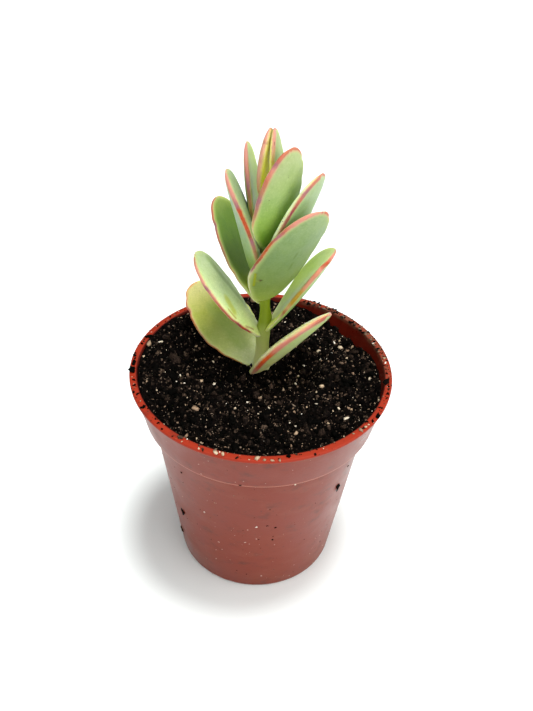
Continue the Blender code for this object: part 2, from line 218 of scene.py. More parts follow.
def rounded(corners):
    """The line through (radius, height, rounding) corners, each rounded off by an arc."""
    line = []
    for i, (r, z, rounding) in enumerate(corners):
        here = Vector((r, z))
        if not rounding:
            line.append(here)
            continue
        to_last = (Vector(corners[i - 1][:2]) - here).normalized()
        to_next = (Vector(corners[i + 1][:2]) - here).normalized()
        half = to_last.angle(to_next) / 2
        centre = here + (to_last + to_next).normalized() * rounding / math.sin(half)
        start = here + to_last * rounding / math.tan(half) - centre
        end = here + to_next * rounding / math.tan(half) - centre
        for part in range(ROUNDING_STEPS + 1):
            spoke = start.lerp(end, part / ROUNDING_STEPS).normalized()
            line.append(centre + spoke * rounding)
    return line


def collar_inner_radius(z):
    """Inner radius of the collar at height z."""
    foot = POT_HEIGHT - COLLAR_HEIGHT + WALL
    low = COLLAR_FOOT_RADIUS - WALL
    return low + (z - foot) / (POT_HEIGHT - foot) * (LIP_RADIUS - LIP_WIDTH - low)


def body_outer_radius(z):
    """Outer radius of the tapering body at height z."""
    return FOOT_RADIUS + (BODY_TOP_RADIUS - FOOT_RADIUS) * z / (POT_HEIGHT - COLLAR_HEIGHT)


def to_mesh(name, shape):
    """The shape as a smooth mesh. The shape is freed."""
    mesh = bpy.data.meshes.new(name)
    shape.to_mesh(mesh)
    shape.free()
    mesh.shade_smooth()
    return mesh


def made_mesh(source, name):
    """What the object's modifiers make of it, as a plain smooth mesh. The object is removed."""
    bpy.context.view_layer.update()
    shape = source.evaluated_get(bpy.context.evaluated_depsgraph_get())
    mesh = bpy.data.meshes.new_from_object(shape)
    mesh.transform(source.matrix_world)
    mesh.name = name
    mesh.shade_smooth()
    bpy.data.objects.remove(source)
    return mesh


step = POT_HEIGHT - COLLAR_HEIGHT
floor_top = FOOT_RING_HEIGHT + FLOOR
lip_foot = POT_HEIGHT - LIP_HEIGHT
pot_section = rounded([
    (0, floor_top, 0),
    (body_outer_radius(floor_top) - WALL, floor_top, 0.4 * MM),
    (BODY_TOP_RADIUS - WALL, step + WALL, 0.4 * MM),
    (collar_inner_radius(step + WALL), step + WALL, 0.3 * MM),
    (LIP_RADIUS - LIP_WIDTH, POT_HEIGHT, 0.2 * MM),
    (LIP_RADIUS, POT_HEIGHT, 0.3 * MM),
    (LIP_RADIUS - 0.1 * MM, lip_foot, 0.15 * MM),
    (COLLAR_TOP_RADIUS, lip_foot - 0.1 * MM, 0.2 * MM),
    (COLLAR_FOOT_RADIUS, step, 0.45 * MM),
    (BODY_TOP_RADIUS, step, 0.3 * MM),
    (FOOT_RADIUS, 0, 0.9 * MM),
    (FOOT_RADIUS - FOOT_RING_WIDTH, 0, 0.3 * MM),
    (FOOT_RADIUS - FOOT_RING_WIDTH - 0.2 * MM, FOOT_RING_HEIGHT, 0.2 * MM),
    (0, FOOT_RING_HEIGHT, 0),
])
section_mesh = bpy.data.meshes.new("pot_section")
edges = [(i, i + 1) for i in range(len(pot_section) - 1)]
section_mesh.from_pydata([(p.x, 0, p.y) for p in pot_section], edges, [])
turned = new_object("pot_turned", section_mesh)
screw = turned.modifiers.new("turn", "SCREW")
screw.steps = POT_SIDES
screw.render_steps = POT_SIDES
screw.use_merge_vertices = True
screw.merge_threshold = 0.01 * MM
hole_places = [(0, 0)]
for i in range(DRAIN_CIRCLE_HOLES):
    turn = math.tau * i / DRAIN_CIRCLE_HOLES
    hole_places.append((DRAIN_CIRCLE_RADIUS * math.cos(turn), DRAIN_CIRCLE_RADIUS * math.sin(turn)))
shape = bmesh.new()
for x, y in hole_places:
    bmesh.ops.create_cone(
        shape, cap_ends=True, segments=DRAIN_HOLE_SIDES, radius1=DRAIN_HOLE_RADIUS,
        radius2=DRAIN_HOLE_RADIUS, depth=4 * FLOOR,
        matrix=Matrix.Translation((x, y, FOOT_RING_HEIGHT + FLOOR / 2)),
    )
drill = new_object("drain_drill", to_mesh("drain_drill", shape))
drilling = turned.modifiers.new("drain_holes", "BOOLEAN")
drilling.object = drill
drilling.solver = "EXACT"
pot_mesh = made_mesh(turned, "nursery_pot")
bpy.data.objects.remove(drill)
pot_mesh.set_sharp_from_angle(angle=SHARP_EDGE)

# Polypropylene coloured right through with red oxide, moulded with a satin skin that shines where
# it is seen aslant. The lip is warm orange red, and grubby on the right at the back. The inside is
# painted dark, for peat stain and for painted shade inside the collar. The outside wears a film of
# dust, thicker near the foot, with dark and pale specks, and a painted highlight along the collar's bottom
# edge.
PLASTIC_LIP = "#98280C"
PLASTIC_WALL = "#762610"
PEAT_STAIN_AND_SHADE_INSIDE = "#5C1408"
PLASTIC_DUST = "#94644E"
PAINTED_EDGE_HIGHLIGHT = "#B46E58"
PEAT_STAIN = "#2A1A12"
LIP_GRIME = "#6A4430"
LIME_SPECK = "#D8C0B0"
GRUBBY_SIDE = Vector((0.8, 0.6, 0))
COLLAR_TAPER = 0.21  # how much the collar's inside narrows, over its height


def mixed(share, low, high):
    """The colour low, with a share of the colour high."""
    return add_node("ShaderNodeMix", {0: share, 6: low, 7: high}, 2, data_type="RGBA")


def scaled(vector, by):
    """A vector or a colour, times a number for each of its parts."""
    return add_node("ShaderNodeVectorMath", {0: vector, 1: by}, operation="MULTIPLY")


def cloud(size_mm, detail=3, roughness=0.6, squash=None):
    """Noise whose lumps are size_mm apart. Squash gives other scales along x, y and z."""
    vector = scaled(place, squash) if squash else place
    inputs = {"Vector": vector, "Scale": 1 / (size_mm * MM), "Detail": detail, "Roughness": roughness}
    return add_node("ShaderNodeTexNoise", inputs)


def bumps(heights, strength, distance_mm):
    """A surface made uneven by the heights."""
    inputs = {"Height": heights, "Strength": strength, "Distance": distance_mm * MM}
    return add_node("ShaderNodeBump", inputs)


polypropylene, tree, shader, place = new_material("moulded_polypropylene_terracotta")
height = add_node("ShaderNodeSeparateXYZ", {0: place}, "Z")
level = scaled(place, (1, 1, 0))
reach = calc("LENGTH", level)
on_lip = ranged(height, lip_foot - 0.2 * MM, lip_foot + 0.3 * MM)
# The inside of the collar is painted darker: peat stain, and painted shade inside the pot.
inner_skin = calc("ADD", reach, calc("MULTIPLY", calc("SUBTRACT", POT_HEIGHT, height), COLLAR_TAPER))
inside = ranged(inner_skin, LIP_RADIUS - LIP_WIDTH + 0.35 * MM, LIP_RADIUS - LIP_WIDTH + 0.05 * MM)
inside = calc("MULTIPLY", inside, ranged(height, step + 0.35 * MM, step + 0.65 * MM))
patches = cloud(13, detail=5, roughness=0.62)
smears = cloud(9, detail=4, squash=(1, 1, 2.6))
film = calc("ADD", ranged(patches, 0.35, 0.72, 0.0, 0.08), ranged(height, 14 * MM, 2 * MM, 0.0, 0.06))
film = calc("ADD", film, ranged(smears, 0.5, 0.72, 0.0, 0.1))
film = calc("ADD", film, ranged(height, step + 2 * MM, step, -0.04, 0.0))
wall = mixed(film, linear(PLASTIC_WALL), linear(PLASTIC_DUST))
# Painted highlight: a paler line along the collar's rounded bottom edge.
edge_foot = ranged(height, step - 0.05 * MM, step + 0.1 * MM)
edge_highlight_line = calc("MULTIPLY", edge_foot, ranged(height, step + 0.7 * MM, step + 0.4 * MM))
wall = mixed(calc("MULTIPLY", edge_highlight_line, 0.55), wall, linear(PAINTED_EDGE_HIGHLIGHT))
pale_specks = ranged(cloud(0.8, detail=1), 0.74, 0.78, 0.0, 0.7)
wall = mixed(calc("MULTIPLY", pale_specks, ranged(patches, 0.42, 0.6)), wall, linear(LIME_SPECK))
plastic = mixed(on_lip, wall, linear(PLASTIC_LIP))
plastic = mixed(inside, plastic, linear(PEAT_STAIN_AND_SHADE_INSIDE))
specks = ranged(cloud(1.1, detail=3, roughness=0.65), 0.665, 0.73, 0.0, 0.6)
stains = ranged(cloud(5, detail=5, roughness=0.7, squash=(1, 1, 1.8)), 0.53, 0.75, 0.0, 0.45)
grubby = ranged(calc("DOT_PRODUCT", level, GRUBBY_SIDE.normalized()), 17 * MM, 27 * MM)
grime = calc("MULTIPLY", grubby, ranged(cloud(2.2, detail=5, roughness=0.75), 0.38, 0.62, 0.1, 0.85))
colour = mixed(calc("MULTIPLY", grime, on_lip), plastic, linear(LIP_GRIME))
set_inputs(shader, {
    "Base Color": mixed(calc("MAXIMUM", specks, stains), colour, linear(PEAT_STAIN)),
    "Normal": bumps(cloud(0.5, detail=2), 0.05, 0.2),
    "Roughness": calc("MAXIMUM", ranged(patches, 0.3, 0.7, 0.27, 0.42), calc("MULTIPLY", on_lip, 0.6)),
    "IOR": 1.49,
    "Specular IOR Level": 0.22,
})

pot = new_object("nursery_pot", pot_mesh, polypropylene)
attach(pot, "root")
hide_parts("pot")

# ---------------------------------------------------------------------------------------------
# Potting soil: black peat that fills the pot. It is heaped to the left and to the back, and sinks
# round the stem, which has a small mound at its foot. It has sunk most on the right at the back,
# where the inside of the collar shows.
SOIL_LEVEL = 53.4 * MM
SOIL_SLOPE_X = -0.04
SOIL_SLOPE_Y = 0.03
SOIL_SWELLS = (  # centre, radius and rise: round the stem, at the back, and the stem's mound
    (Vector((0, 3, 0)) * MM, 9 * MM, -1.6 * MM),
    (Vector((20, 19, 0)) * MM, 11 * MM, -2.4 * MM),
    (Vector((0.3, 4.4, 0)) * MM, 3.2 * MM, 0.6 * MM),
)
CLODS = ((7 * MM, 0.6 * MM), (2.8 * MM, 0.8 * MM), (1.3 * MM, 0.5 * MM), (0.5 * MM, 0.2 * MM))
BED_RINGS = 110
BED_SIDES = 300
BED_SEED = Vector((3.1, 7.7, 1.3))


def bell(offset, width):
    """A smooth hump, 1 high in its middle."""
    return math.exp(-((offset / width) ** 2))


def soil_top(x, y):
    """Height of the soil's surface, with its broad swells and with clods of several sizes."""
    height = SOIL_LEVEL + SOIL_SLOPE_X * x + SOIL_SLOPE_Y * y
    for centre, radius, rise in SOIL_SWELLS:
        height += rise * bell(math.hypot(x - centre.x, y - centre.y), radius)
    for spacing, size in CLODS:
        height += size * noise.noise(Vector((x, y, 0)) / spacing + BED_SEED)
    return height


shape = bmesh.new()
turns = [math.tau * side / BED_SIDES for side in range(BED_SIDES)]
rings = []
rim = collar_inner_radius(SOIL_LEVEL) + 0.1 * MM
for ring in range(1, BED_RINGS + 1):
    reach = rim * ring / BED_RINGS
    spots = [(reach * math.cos(turn), reach * math.sin(turn)) for turn in turns]
    rings.append([shape.verts.new((x, y, soil_top(x, y))) for x, y in spots])
for r, z in (
    (collar_inner_radius(step + WALL) - 0.2 * MM, step + WALL + 0.2 * MM),
    (BODY_TOP_RADIUS - WALL - 0.2 * MM, step + WALL),
    (body_outer_radius(floor_top) - WALL - 0.5 * MM, floor_top + 0.2 * MM),
):
    rings.append([shape.verts.new((r * math.cos(t), r * math.sin(t), z)) for t in turns])
crown = shape.verts.new((0, 0, soil_top(0, 0)))
foot = shape.verts.new((0, 0, floor_top + 0.2 * MM))
for side in range(BED_SIDES):
    after = (side + 1) % BED_SIDES
    shape.faces.new((crown, rings[0][side], rings[0][after]))
    shape.faces.new((foot, rings[-1][after], rings[-1][side]))
    for inner, outer in zip(rings, rings[1:]):
        shape.faces.new((inner[side], outer[side], outer[after], inner[after]))
bed_mesh = to_mesh("soil_bed", shape)

# Moist sphagnum peat: nearly black, with brown fibres. It is matt, and water in it glints a little.
PEAT_BLACK = "#030202"
PEAT_BROWN = "#140D09"
peat, tree, shader, place = new_material("moist_black_peat")
fibres = ranged(cloud(1.0, detail=6, roughness=0.7), 0.42, 0.75, kind="LINEAR")
set_inputs(shader, {
    "Base Color": mixed(fibres, linear(PEAT_BLACK), linear(PEAT_BROWN)),
    "Normal": bumps(cloud(0.35, detail=4, roughness=0.7), 0.8, 0.25),
    "Roughness": 0.85,
    "Specular IOR Level": 0.03,
})

bed = new_object("soil_bed", bed_mesh, peat)
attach(bed, "root")
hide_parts("potting_soil")

# ---------------------------------------------------------------------------------------------
# Crumbs and grit: loose bits of peat, bark and pumice lie all over the soil. Geometry Nodes strew
# them over the bed, turned and sized at random, from a few dented lumps.
LEAST_RISE = 0.1  # bits lie only where the bed faces up by this much
MOSTLY_SMALL = 2.5  # the higher this power, the fewer bits are large
TONE_SEED = 7
COARSE_DENTS = 2.3  # dents per length of a lump
FINE_DENTS = 5.1
LUMP_FLATNESS = 0.8
STREWING_INPUTS = (
    ("Bed", "Geometry"),
    ("Shapes", "Collection"),
    ("Least spacing", "Float"),
    ("Per square metre", "Float"),
    ("Reach", "Float"),
    ("Smallest", "Float"),
    ("Largest", "Float"),
    ("Seed", "Int"),
    ("Finish", "Material"),
)
strewing = bpy.data.node_groups.new("strewing", "GeometryNodeTree")
for label, kind in STREWING_INPUTS:
    strewing.interface.new_socket(label, in_out="INPUT", socket_type="NodeSocket" + kind)
strewing.interface.new_socket("Strewn", in_out="OUTPUT", socket_type="NodeSocketGeometry")
tree = strewing
given = tree.nodes.new("NodeGroupInput").outputs
rise = add_node("ShaderNodeSeparateXYZ", {0: add_node("GeometryNodeInputNormal", {})}, "Z")
out = calc("LENGTH", scaled(add_node("GeometryNodeInputPosition", {}), (1, 1, 0)))
on_top = add_node("FunctionNodeCompare", {0: rise, 1: LEAST_RISE}, operation="GREATER_THAN")
within = add_node("FunctionNodeCompare", {0: out, 1: given["Reach"]}, operation="LESS_THAN")
inputs = {
    "Mesh": given["Bed"],
    "Selection": add_node("FunctionNodeBooleanMath", {0: on_top, 1: within}, operation="AND"),
    "Distance Min": given["Least spacing"],
    "Density Max": given["Per square metre"],
    "Seed": given["Seed"],
}
points = add_node("GeometryNodeDistributePointsOnFaces", inputs, "Points", distribute_method="POISSON")
inputs = {"Collection": given["Shapes"], "Separate Children": True, "Reset Children": True}
shapes = add_node("GeometryNodeCollectionInfo", inputs)
inputs = {1: (math.tau, math.tau, math.tau), "Seed": given["Seed"]}
turn = add_node("FunctionNodeRandomValue", inputs, data_type="FLOAT_VECTOR")
inputs = {2: 0.0, 3: 1.0, "Seed": given["Seed"]}
share = calc("POWER", add_node("FunctionNodeRandomValue", inputs, 1, data_type="FLOAT"), MOSTLY_SMALL)
size = ranged(share, 0.0, 1.0, given["Smallest"], given["Largest"], "LINEAR")
inputs = {"Points": points, "Instance": shapes, "Pick Instance": True, "Rotation": turn, "Scale": size}
bits = add_node("GeometryNodeInstanceOnPoints", inputs)
tone = add_node("FunctionNodeRandomValue", {2: 0.0, 3: 1.0, "Seed": TONE_SEED}, 1, data_type="FLOAT")
inputs = {"Geometry": bits, "Name": "tone", "Value": tone}
bits = add_node("GeometryNodeStoreNamedAttribute", inputs, data_type="FLOAT", domain="INSTANCE")
bits = add_node("GeometryNodeRealizeInstances", {0: bits})
bits = add_node("GeometryNodeSetMaterial", {"Geometry": bits, "Material": given["Finish"]})
set_inputs(tree.nodes.new("NodeGroupOutput"), {"Strewn": bits})


def dented_lumps(name, count, subdivisions, roughness, stretches):
    """A collection of lumps: small spheres, drawn out and dented."""
    lumps = bpy.data.collections.new(name)
    for i in range(count):
        seed = i + 1.37
        stretch = stretches[i % len(stretches)]
        shape = bmesh.new()
        bmesh.ops.create_icosphere(shape, subdivisions=subdivisions, radius=0.5)
        for vertex in shape.verts:
            dent = noise.noise(vertex.co * COARSE_DENTS + Vector((seed, 2 * seed, 3 * seed)))
            fine = noise.noise(vertex.co * FINE_DENTS + Vector((3 * seed, seed, 2 * seed)))
            vertex.co *= 1 + roughness * (dent + 0.5 * fine)
            vertex.co = Vector((vertex.co.x * stretch, vertex.co.y, vertex.co.z * LUMP_FLATNESS))
        lump_name = f"{name}_{i}"
        lumps.objects.link(bpy.data.objects.new(lump_name, to_mesh(lump_name, shape)))
    return lumps


# Peat crumbs and bark: the same dark peat, a little browner where it is dry. Grit: pumice, sand
# and perlite, from tan to white, dull and sharp-edged. Each bit's own tone picks its colour.
CLOD_TONES = ((0.0, "#010100"), (0.45, "#050302"), (0.75, "#120D0A"), (1.0, "#30251E"))
CRUMB_TONES = ((0.0, "#010100"), (0.5, "#040302"), (0.76, "#0F0B08"), (0.92, "#2A211A"), (1.0, "#544438"))
FINE_TONES = ((0.0, "#020201"), (0.5, "#080504"), (0.74, "#1E1712"), (0.88, "#4A3C31"), (1.0, "#94816E"))
GRIT_TONES = ((0.0, "#4E3C2E"), (0.45, "#8C7058"), (0.75, "#BFA686"), (0.9, "#DCCDB2"), (1.0, "#F0E9DA"))
toned = []
for name, tones, roughness, gloss, mottling in (
    ("lumps_of_black_peat", CLOD_TONES, 0.8, 0.04, 0.45),
    ("crumbled_peat_and_bark", CRUMB_TONES, 0.8, 0.04, 0.25),
    ("fine_peat_and_sand", FINE_TONES, 0.75, 0.06, 0.12),
    ("pumice_and_quartz_grit", GRIT_TONES, 0.6, 0.4, 0.12),
):
    made, tree, shader, place = new_material(name)
    tone = add_node("ShaderNodeAttribute", {}, "Fac", attribute_name="tone")
    grain = cloud(0.4, detail=4, roughness=0.7)
    tone = calc("ADD", tone, ranged(grain, 0.3, 0.7, -mottling, mottling, "LINEAR"))
    set_inputs(shader, {
        "Base Color": add_node("ShaderNodeValToRGB", {0: tone}, ramp=tones),
        "Normal": bumps(grain, 0.7, 0.15),
        "Roughness": roughness,
        "Specular IOR Level": gloss,
    })
    toned.append(made)
peat_clod, peat_crumb, peat_fines, pumice = toned
lumps = dented_lumps("lump", 7, 2, 0.9, (1.0, 1.3, 1.9))
chips = dented_lumps("chip", 9, 1, 0.8, (1.0, 1.4, 2.0))
soil_reach = collar_inner_radius(SOIL_LEVEL)
for name, shapes, finish, seed, spacing, density, margin, smallest, largest in (
    ("soil_clods", lumps, peat_clod, 4, 1.5, 3e5, 1.2, 0.8, 2.1),
    ("soil_crumbs", chips, peat_crumb, 5, 0.6, 2e6, 0.6, 0.4, 1.3),
    ("soil_fines", chips, peat_fines, 11, 0.35, 4e6, 0.3, 0.2, 0.6),
    ("soil_grit", chips, pumice, 23, 0.6, 3.2e5, 0.4, 0.15, 0.8),
):
    source = new_object(name + "_source", bed.data.copy())
    strew = source.modifiers.new("strew", "NODES")
    strew.node_group = strewing
    reach = soil_reach - margin * MM
    values = (shapes, spacing * MM, density, reach, smallest * MM, largest * MM, seed, finish)
    for (label, _), value in zip(STREWING_INPUTS[1:], values):
        strew[strewing.interface.items_tree[label].identifier] = value
    strewn = new_object(name, made_mesh(source, name))
    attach(strewn, "root")

# ---------------------------------------------------------------------------------------------
# Spilt soil: what fell beside the pot's mouth when it was filled. Crumbs and grit lie on the lip,
# most of them on the right at the back, and a few flakes of bark have stuck to the wall.
LIP_MIDDLE = LIP_RADIUS - LIP_WIDTH / 2
SPILT_SEED = 5
ABOVE_SOIL_MM = 0.25  # from the soil to a bit's middle, and then a share of the bit's length
ABOVE_SOIL_SHARE = 0.2
ABOVE_LIP_SHARE = 0.12
OFF_WALL_SHARE = 0.02


def wall_outer_radius(z):
    """Outer radius of the pot at height z, collar included."""
    if z < step:
        return body_outer_radius(z)
    share = (z - step) / COLLAR_HEIGHT
    return COLLAR_FOOT_RADIUS + (COLLAR_TOP_RADIUS - COLLAR_FOOT_RADIUS) * share


def laid(name, rows, shapes, finish):
    """Bits laid one by one: (centre, length, how much thinner than long, what it lies on, tone)."""
    dice = random.Random(SPILT_SEED)
    joined = bmesh.new()
    tone_layer = joined.verts.layers.float.new("tone")
    for centre, length, thinness, facing, tone in rows:
        known = len(joined.verts)
        joined.from_mesh(dice.choice(list(shapes.objects)).data)
        joined.verts.ensure_lookup_table()
        spin = Matrix.Rotation(dice.uniform(0, math.tau), 3, "Z")
        turn = facing.to_track_quat("Z", "Y").to_matrix() @ spin
        for vertex in joined.verts[known:]:
            vertex.co.z *= thinness
            vertex.co = turn @ (vertex.co * length) + centre
            vertex[tone_layer] = tone
    made = new_object(name, to_mesh(name, joined), finish)
    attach(made, "root")


def on_soil_at(x_mm, y_mm, length_mm, tone):
    height = soil_top(x_mm * MM, y_mm * MM) + (ABOVE_SOIL_MM + ABOVE_SOIL_SHARE * length_mm) * MM
    return Vector((x_mm * MM, y_mm * MM, height)), length_mm * MM, 0.8, Z_AXIS, tone


def on_lip_at(degrees, off_middle_mm, length_mm, tone, thinness=0.8):
    turn = math.radians(degrees)
    radius = LIP_MIDDLE + off_middle_mm * MM
    height = POT_HEIGHT + ABOVE_LIP_SHARE * length_mm * MM
    centre = Vector((radius * math.cos(turn), radius * math.sin(turn), height))
    return centre, length_mm * MM, thinness, Z_AXIS, tone


def on_wall_at(degrees, height_mm, length_mm, tone, thinness=0.3):
    turn = math.radians(degrees)
    outwards = Vector((math.cos(turn), math.sin(turn), 0))
    radius = wall_outer_radius(height_mm * MM) + OFF_WALL_SHARE * length_mm * MM
    return outwards * radius + Z_AXIS * height_mm * MM, length_mm * MM, thinness, outwards, tone


# The bits that stand out, laid one by one.
PEAT_ON_LIP = (  # degrees round the pot, mm off the lip's middle, length in mm, tone, and thinness
    (180, 0.0, 1.1, 0.3), (185, 0.2, 1.3, 0.1), (175, 0.3, 0.8, 0.5), (160, -0.6, 1.2, 0.2),
    (166, 0.0, 0.7, 0.4), (202, -0.2, 0.6, 0.2), (211, 0.0, 0.8, 0.3), (236, -0.2, 1.2, 0.97),
    (283, -0.3, 1.0, 0.1), (326, 0.3, 0.6, 0.4), (330, 0.5, 0.9, 0.3), (353, -0.6, 1.1, 0.6),
)
PEAT_ON_WALL = (  # degrees round the pot, height and length in mm, tone, and thinness
    (217, 20, 1.7, 0.15, 0.4), (323, 32, 1.6, 0.3, 0.4), (340, 51, 1.2, 0.3), (205, 8, 1.1, 0.97, 0.7),
    (277, 27, 0.35, 0.3), (282, 26, 0.5, 0.1), (281, 21, 0.5, 0.2), (257, 50, 0.5, 0.3),
    (260, 50, 0.35, 0.5), (263, 44.6, 0.45, 0.3), (226, 38, 0.5, 0.2), (329, 37, 0.5, 0.4),
)
GRIT_ON_SOIL = (  # x, y and length in mm, tone
    (-26.5, 7, 1.3, 0.55), (-24, 8, 0.7, 0.9), (-2.5, 26.5, 1.7, 0.5), (17.5, -10.5, 1.0, 0.85),
    (19, -14, 0.8, 0.9), (19, 13, 1.1, 0.8), (13.5, 10.5, 0.9, 0.85), (20, 7, 0.8, 0.8),
    (14, -3.5, 1.3, 0.75), (-14, -14, 1.2, 0.5), (-11, -13.5, 0.8, 0.6), (8, -19.5, 1.0, 0.6),
    (5, -5, 1.0, 0.6), (-13.5, -4.5, 1.1, 0.65), (-10.5, -4.5, 0.8, 0.9),
)
GRIT_ON_LIP = (
    (270, 0.0, 1.5, 0.68, 0.55), (253, 0.1, 0.8, 0.8), (256, 0.0, 0.9, 0.7), (254.5, -0.4, 0.45, 0.95),
    (246, 0.4, 0.6, 0.8), (238, 0.5, 0.5, 0.6), (273, 0.4, 0.7, 0.5), (276, 0.6, 0.6, 0.6),
    (279, 0.7, 0.5, 0.5), (318, 0.0, 0.9, 0.45), (321, 0.2, 0.7, 0.7),
)
GRIT_ON_WALL = (
    (271, 26.6, 0.45, 1.0), (250, 51, 0.4, 0.9), (288, 44.2, 0.4, 0.9),
)
peat_rows = [on_lip_at(*row) for row in PEAT_ON_LIP] + [on_wall_at(*row) for row in PEAT_ON_WALL]
grit_rows = [on_soil_at(*row) for row in GRIT_ON_SOIL]
grit_rows += [on_lip_at(*row) for row in GRIT_ON_LIP] + [on_wall_at(*row) for row in GRIT_ON_WALL]

# The rest is strewn. On the lip lies a thin scatter all round, and a thicker one on three sides. The
# grubby side also has coarser crumbs. A few small specks stick to the wall.
LIP_SCATTER = ((150, 0, 360), (110, 8, 80), (40, 320, 370), (40, 140, 215))  # count, from, to degrees
LIP_BAND = (-0.75, 0.75)  # mm off the lip's middle
PEAT_SHARE_ON_LIP = 0.72
COARSE_CRUMBS = 40
COARSE_SECTOR = (15, 70)  # degrees round the pot
COARSE_BAND = (-1.0, -0.1)
COARSE_LENGTH = (0.3, 0.75)
PEAT_SHARE_OF_COARSE = 0.55
WALL_SPECKS = 230
WALL_BAND = (3, 53)  # heights in mm
PEAT_SHARE_ON_WALL = 0.78
dice = random.Random(SPILT_SEED)


def small_length(least, spread):
    """A length in mm: most are near the least, and a few are longer by up to the spread."""
    return least + spread * dice.random() ** 3


for count, least, most in LIP_SCATTER:
    for _ in range(count):
        size = small_length(0.14, 0.42)
        spot = (dice.uniform(least, most), dice.uniform(*LIP_BAND), size)
        rows = peat_rows if dice.random() < PEAT_SHARE_ON_LIP else grit_rows
        rows.append(on_lip_at(*spot, dice.random()))
for _ in range(COARSE_CRUMBS):
    spot = tuple(dice.uniform(*span) for span in (COARSE_SECTOR, COARSE_BAND, COARSE_LENGTH))
    if dice.random() < PEAT_SHARE_OF_COARSE:
        peat_rows.append(on_lip_at(*spot, dice.uniform(0.4, 1.0)))
    else:
        grit_rows.append(on_lip_at(*spot, dice.uniform(0.0, 0.3)))
for _ in range(WALL_SPECKS):
    spot = (dice.uniform(0, 360), dice.uniform(*WALL_BAND), small_length(0.1, 0.22))
    rows = peat_rows if dice.random() < PEAT_SHARE_ON_WALL else grit_rows
    rows.append(on_wall_at(*spot, dice.random()))
laid("spilt_peat", peat_rows, lumps, peat_crumb)
laid("spilt_grit", grit_rows, chips, pumice)

# ---------------------------------------------------------------------------------------------
# Stem: one upright green stem, thicker in its lower part, which is older. It swells a little where
# each pair of leaves sits, and leans over where a leaf is broad. Its skin is smooth and satin.
stem_low, stem_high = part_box("stem")
STEM_TIP_ROUNDING = 0.4 * MM
STEM_FOOT = Vector((0.3 * MM, 4.5 * MM, stem_low.z))
STEM_TIP = Vector((0.8 * MM, 2.0 * MM, stem_high.z - STEM_TIP_ROUNDING))
STEM_FOOT_RADIUS = 1.75 * MM
STEM_TIP_RADIUS = 0.7 * MM
STEM_WAIST_HEIGHT = 68 * MM
STEM_WAIST_RADIUS = 0.95 * MM
NODE_SWELLING = 0.3 * MM
NODE_SWELLING_LENGTH = 2 * MM
NODE_HEIGHTS = (53.5 * MM, 62.3 * MM, 72 * MM, 80 * MM, 86 * MM)
STEM_LEANS = ((62 * MM, -0.35 * MM, 13 * MM), (83 * MM, -1.3 * MM, 7 * MM))  # height, reach, length
STEM_HEEL = (67 * MM, 0.8 * MM, 2.6 * MM)  # the thick foot of a leaf: height, reach, length
STEM_RIDGE = 0.06
STEM_RIDGES = 3
STEM_RIDGE_TURN = 25 * MM
STEM_RINGS = 160
STEM_SIDES = 40
STEM_END_FULLNESS = 12


def stem_point(z):
    """The stem's axis at height z."""
    return STEM_FOOT.lerp(STEM_TIP, (z - STEM_FOOT.z) / (STEM_TIP.z - STEM_FOOT.z))


def stem_radius(z):
    """The stem's mean radius at height z."""
    if z < STEM_WAIST_HEIGHT:
        share = (z - STEM_FOOT.z) / (STEM_WAIST_HEIGHT - STEM_FOOT.z)
        radius = STEM_FOOT_RADIUS + (STEM_WAIST_RADIUS - STEM_FOOT_RADIUS) * share ** 2
    else:
        share = (z - STEM_WAIST_HEIGHT) / (STEM_TIP.z - STEM_WAIST_HEIGHT)
        radius = STEM_WAIST_RADIUS + (STEM_TIP_RADIUS - STEM_WAIST_RADIUS) * share
    return radius + NODE_SWELLING * sum(bell(z - h, NODE_SWELLING_LENGTH) for h in NODE_HEIGHTS)


shape = bmesh.new()
bmesh.ops.create_uvsphere(shape, u_segments=STEM_SIDES, v_segments=STEM_RINGS, radius=1)
for vertex in shape.verts:
    share = (1 + vertex.co.z) / 2
    z = STEM_FOOT.z + (STEM_TIP.z - STEM_FOOT.z) * (1 - math.acos(vertex.co.z) / math.pi)
    around = Vector((vertex.co.x, vertex.co.y, 0)).normalized()
    ends = min(1, STEM_END_FULLNESS * math.sqrt(max(0, share * (1 - share))))
    lean = sum(by * bell(z - at, length) for at, by, length in STEM_LEANS)
    at, by, length = STEM_HEEL
    lean += by * bell(z - at, length) * max(0, around.x) ** 2
    side = math.atan2(vertex.co.y, vertex.co.x)
    ridge = 1 + STEM_RIDGE * math.cos(STEM_RIDGES * side + z / STEM_RIDGE_TURN)
    vertex.co = stem_point(z) + X_AXIS * lean + around * stem_radius(z) * ridge * ends

# Stem skin: smooth green flesh that lets a little light through, paler and drier where it is old.
STEM_YOUNG = "#7A8C14"
STEM_OLD = "#D4D890"
stem_skin, tree, shader, place = new_material("fleshy_stem_skin")
height = add_node("ShaderNodeSeparateXYZ", {0: place}, "Z")
age = ranged(height, 66 * MM, 55 * MM, kind="LINEAR")
set_inputs(shader, {
    "Base Color": mixed(age, linear(STEM_YOUNG), linear(STEM_OLD)),
    "Roughness": 0.45,
    "Subsurface Weight": 0.2,
    "Subsurface Radius": (1.0, 0.9, 0.3),
    "Subsurface Scale": 1.0 * MM,
})

stem = new_object("plant_stem", to_mesh("plant_stem", shape), stem_skin)
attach(stem, "root")
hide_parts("stem")

# ---------------------------------------------------------------------------------------------
# Roots: cream and fibrous, buried in the soil under the stem.
ROOT_CREAM = "#CDBB95"
root_skin, tree, shader, place = new_material("fibrous_root_skin")
streaks = cloud(0.8, detail=4, roughness=0.5)
set_inputs(shader, {"Base Color": mixed(streaks, linear(ROOT_CREAM), linear(PEAT_BROWN)), "Roughness": 0.8})
roots = frame["nodes"]["roots"]
roots.data.materials.clear()
roots.data.materials.append(root_skin)

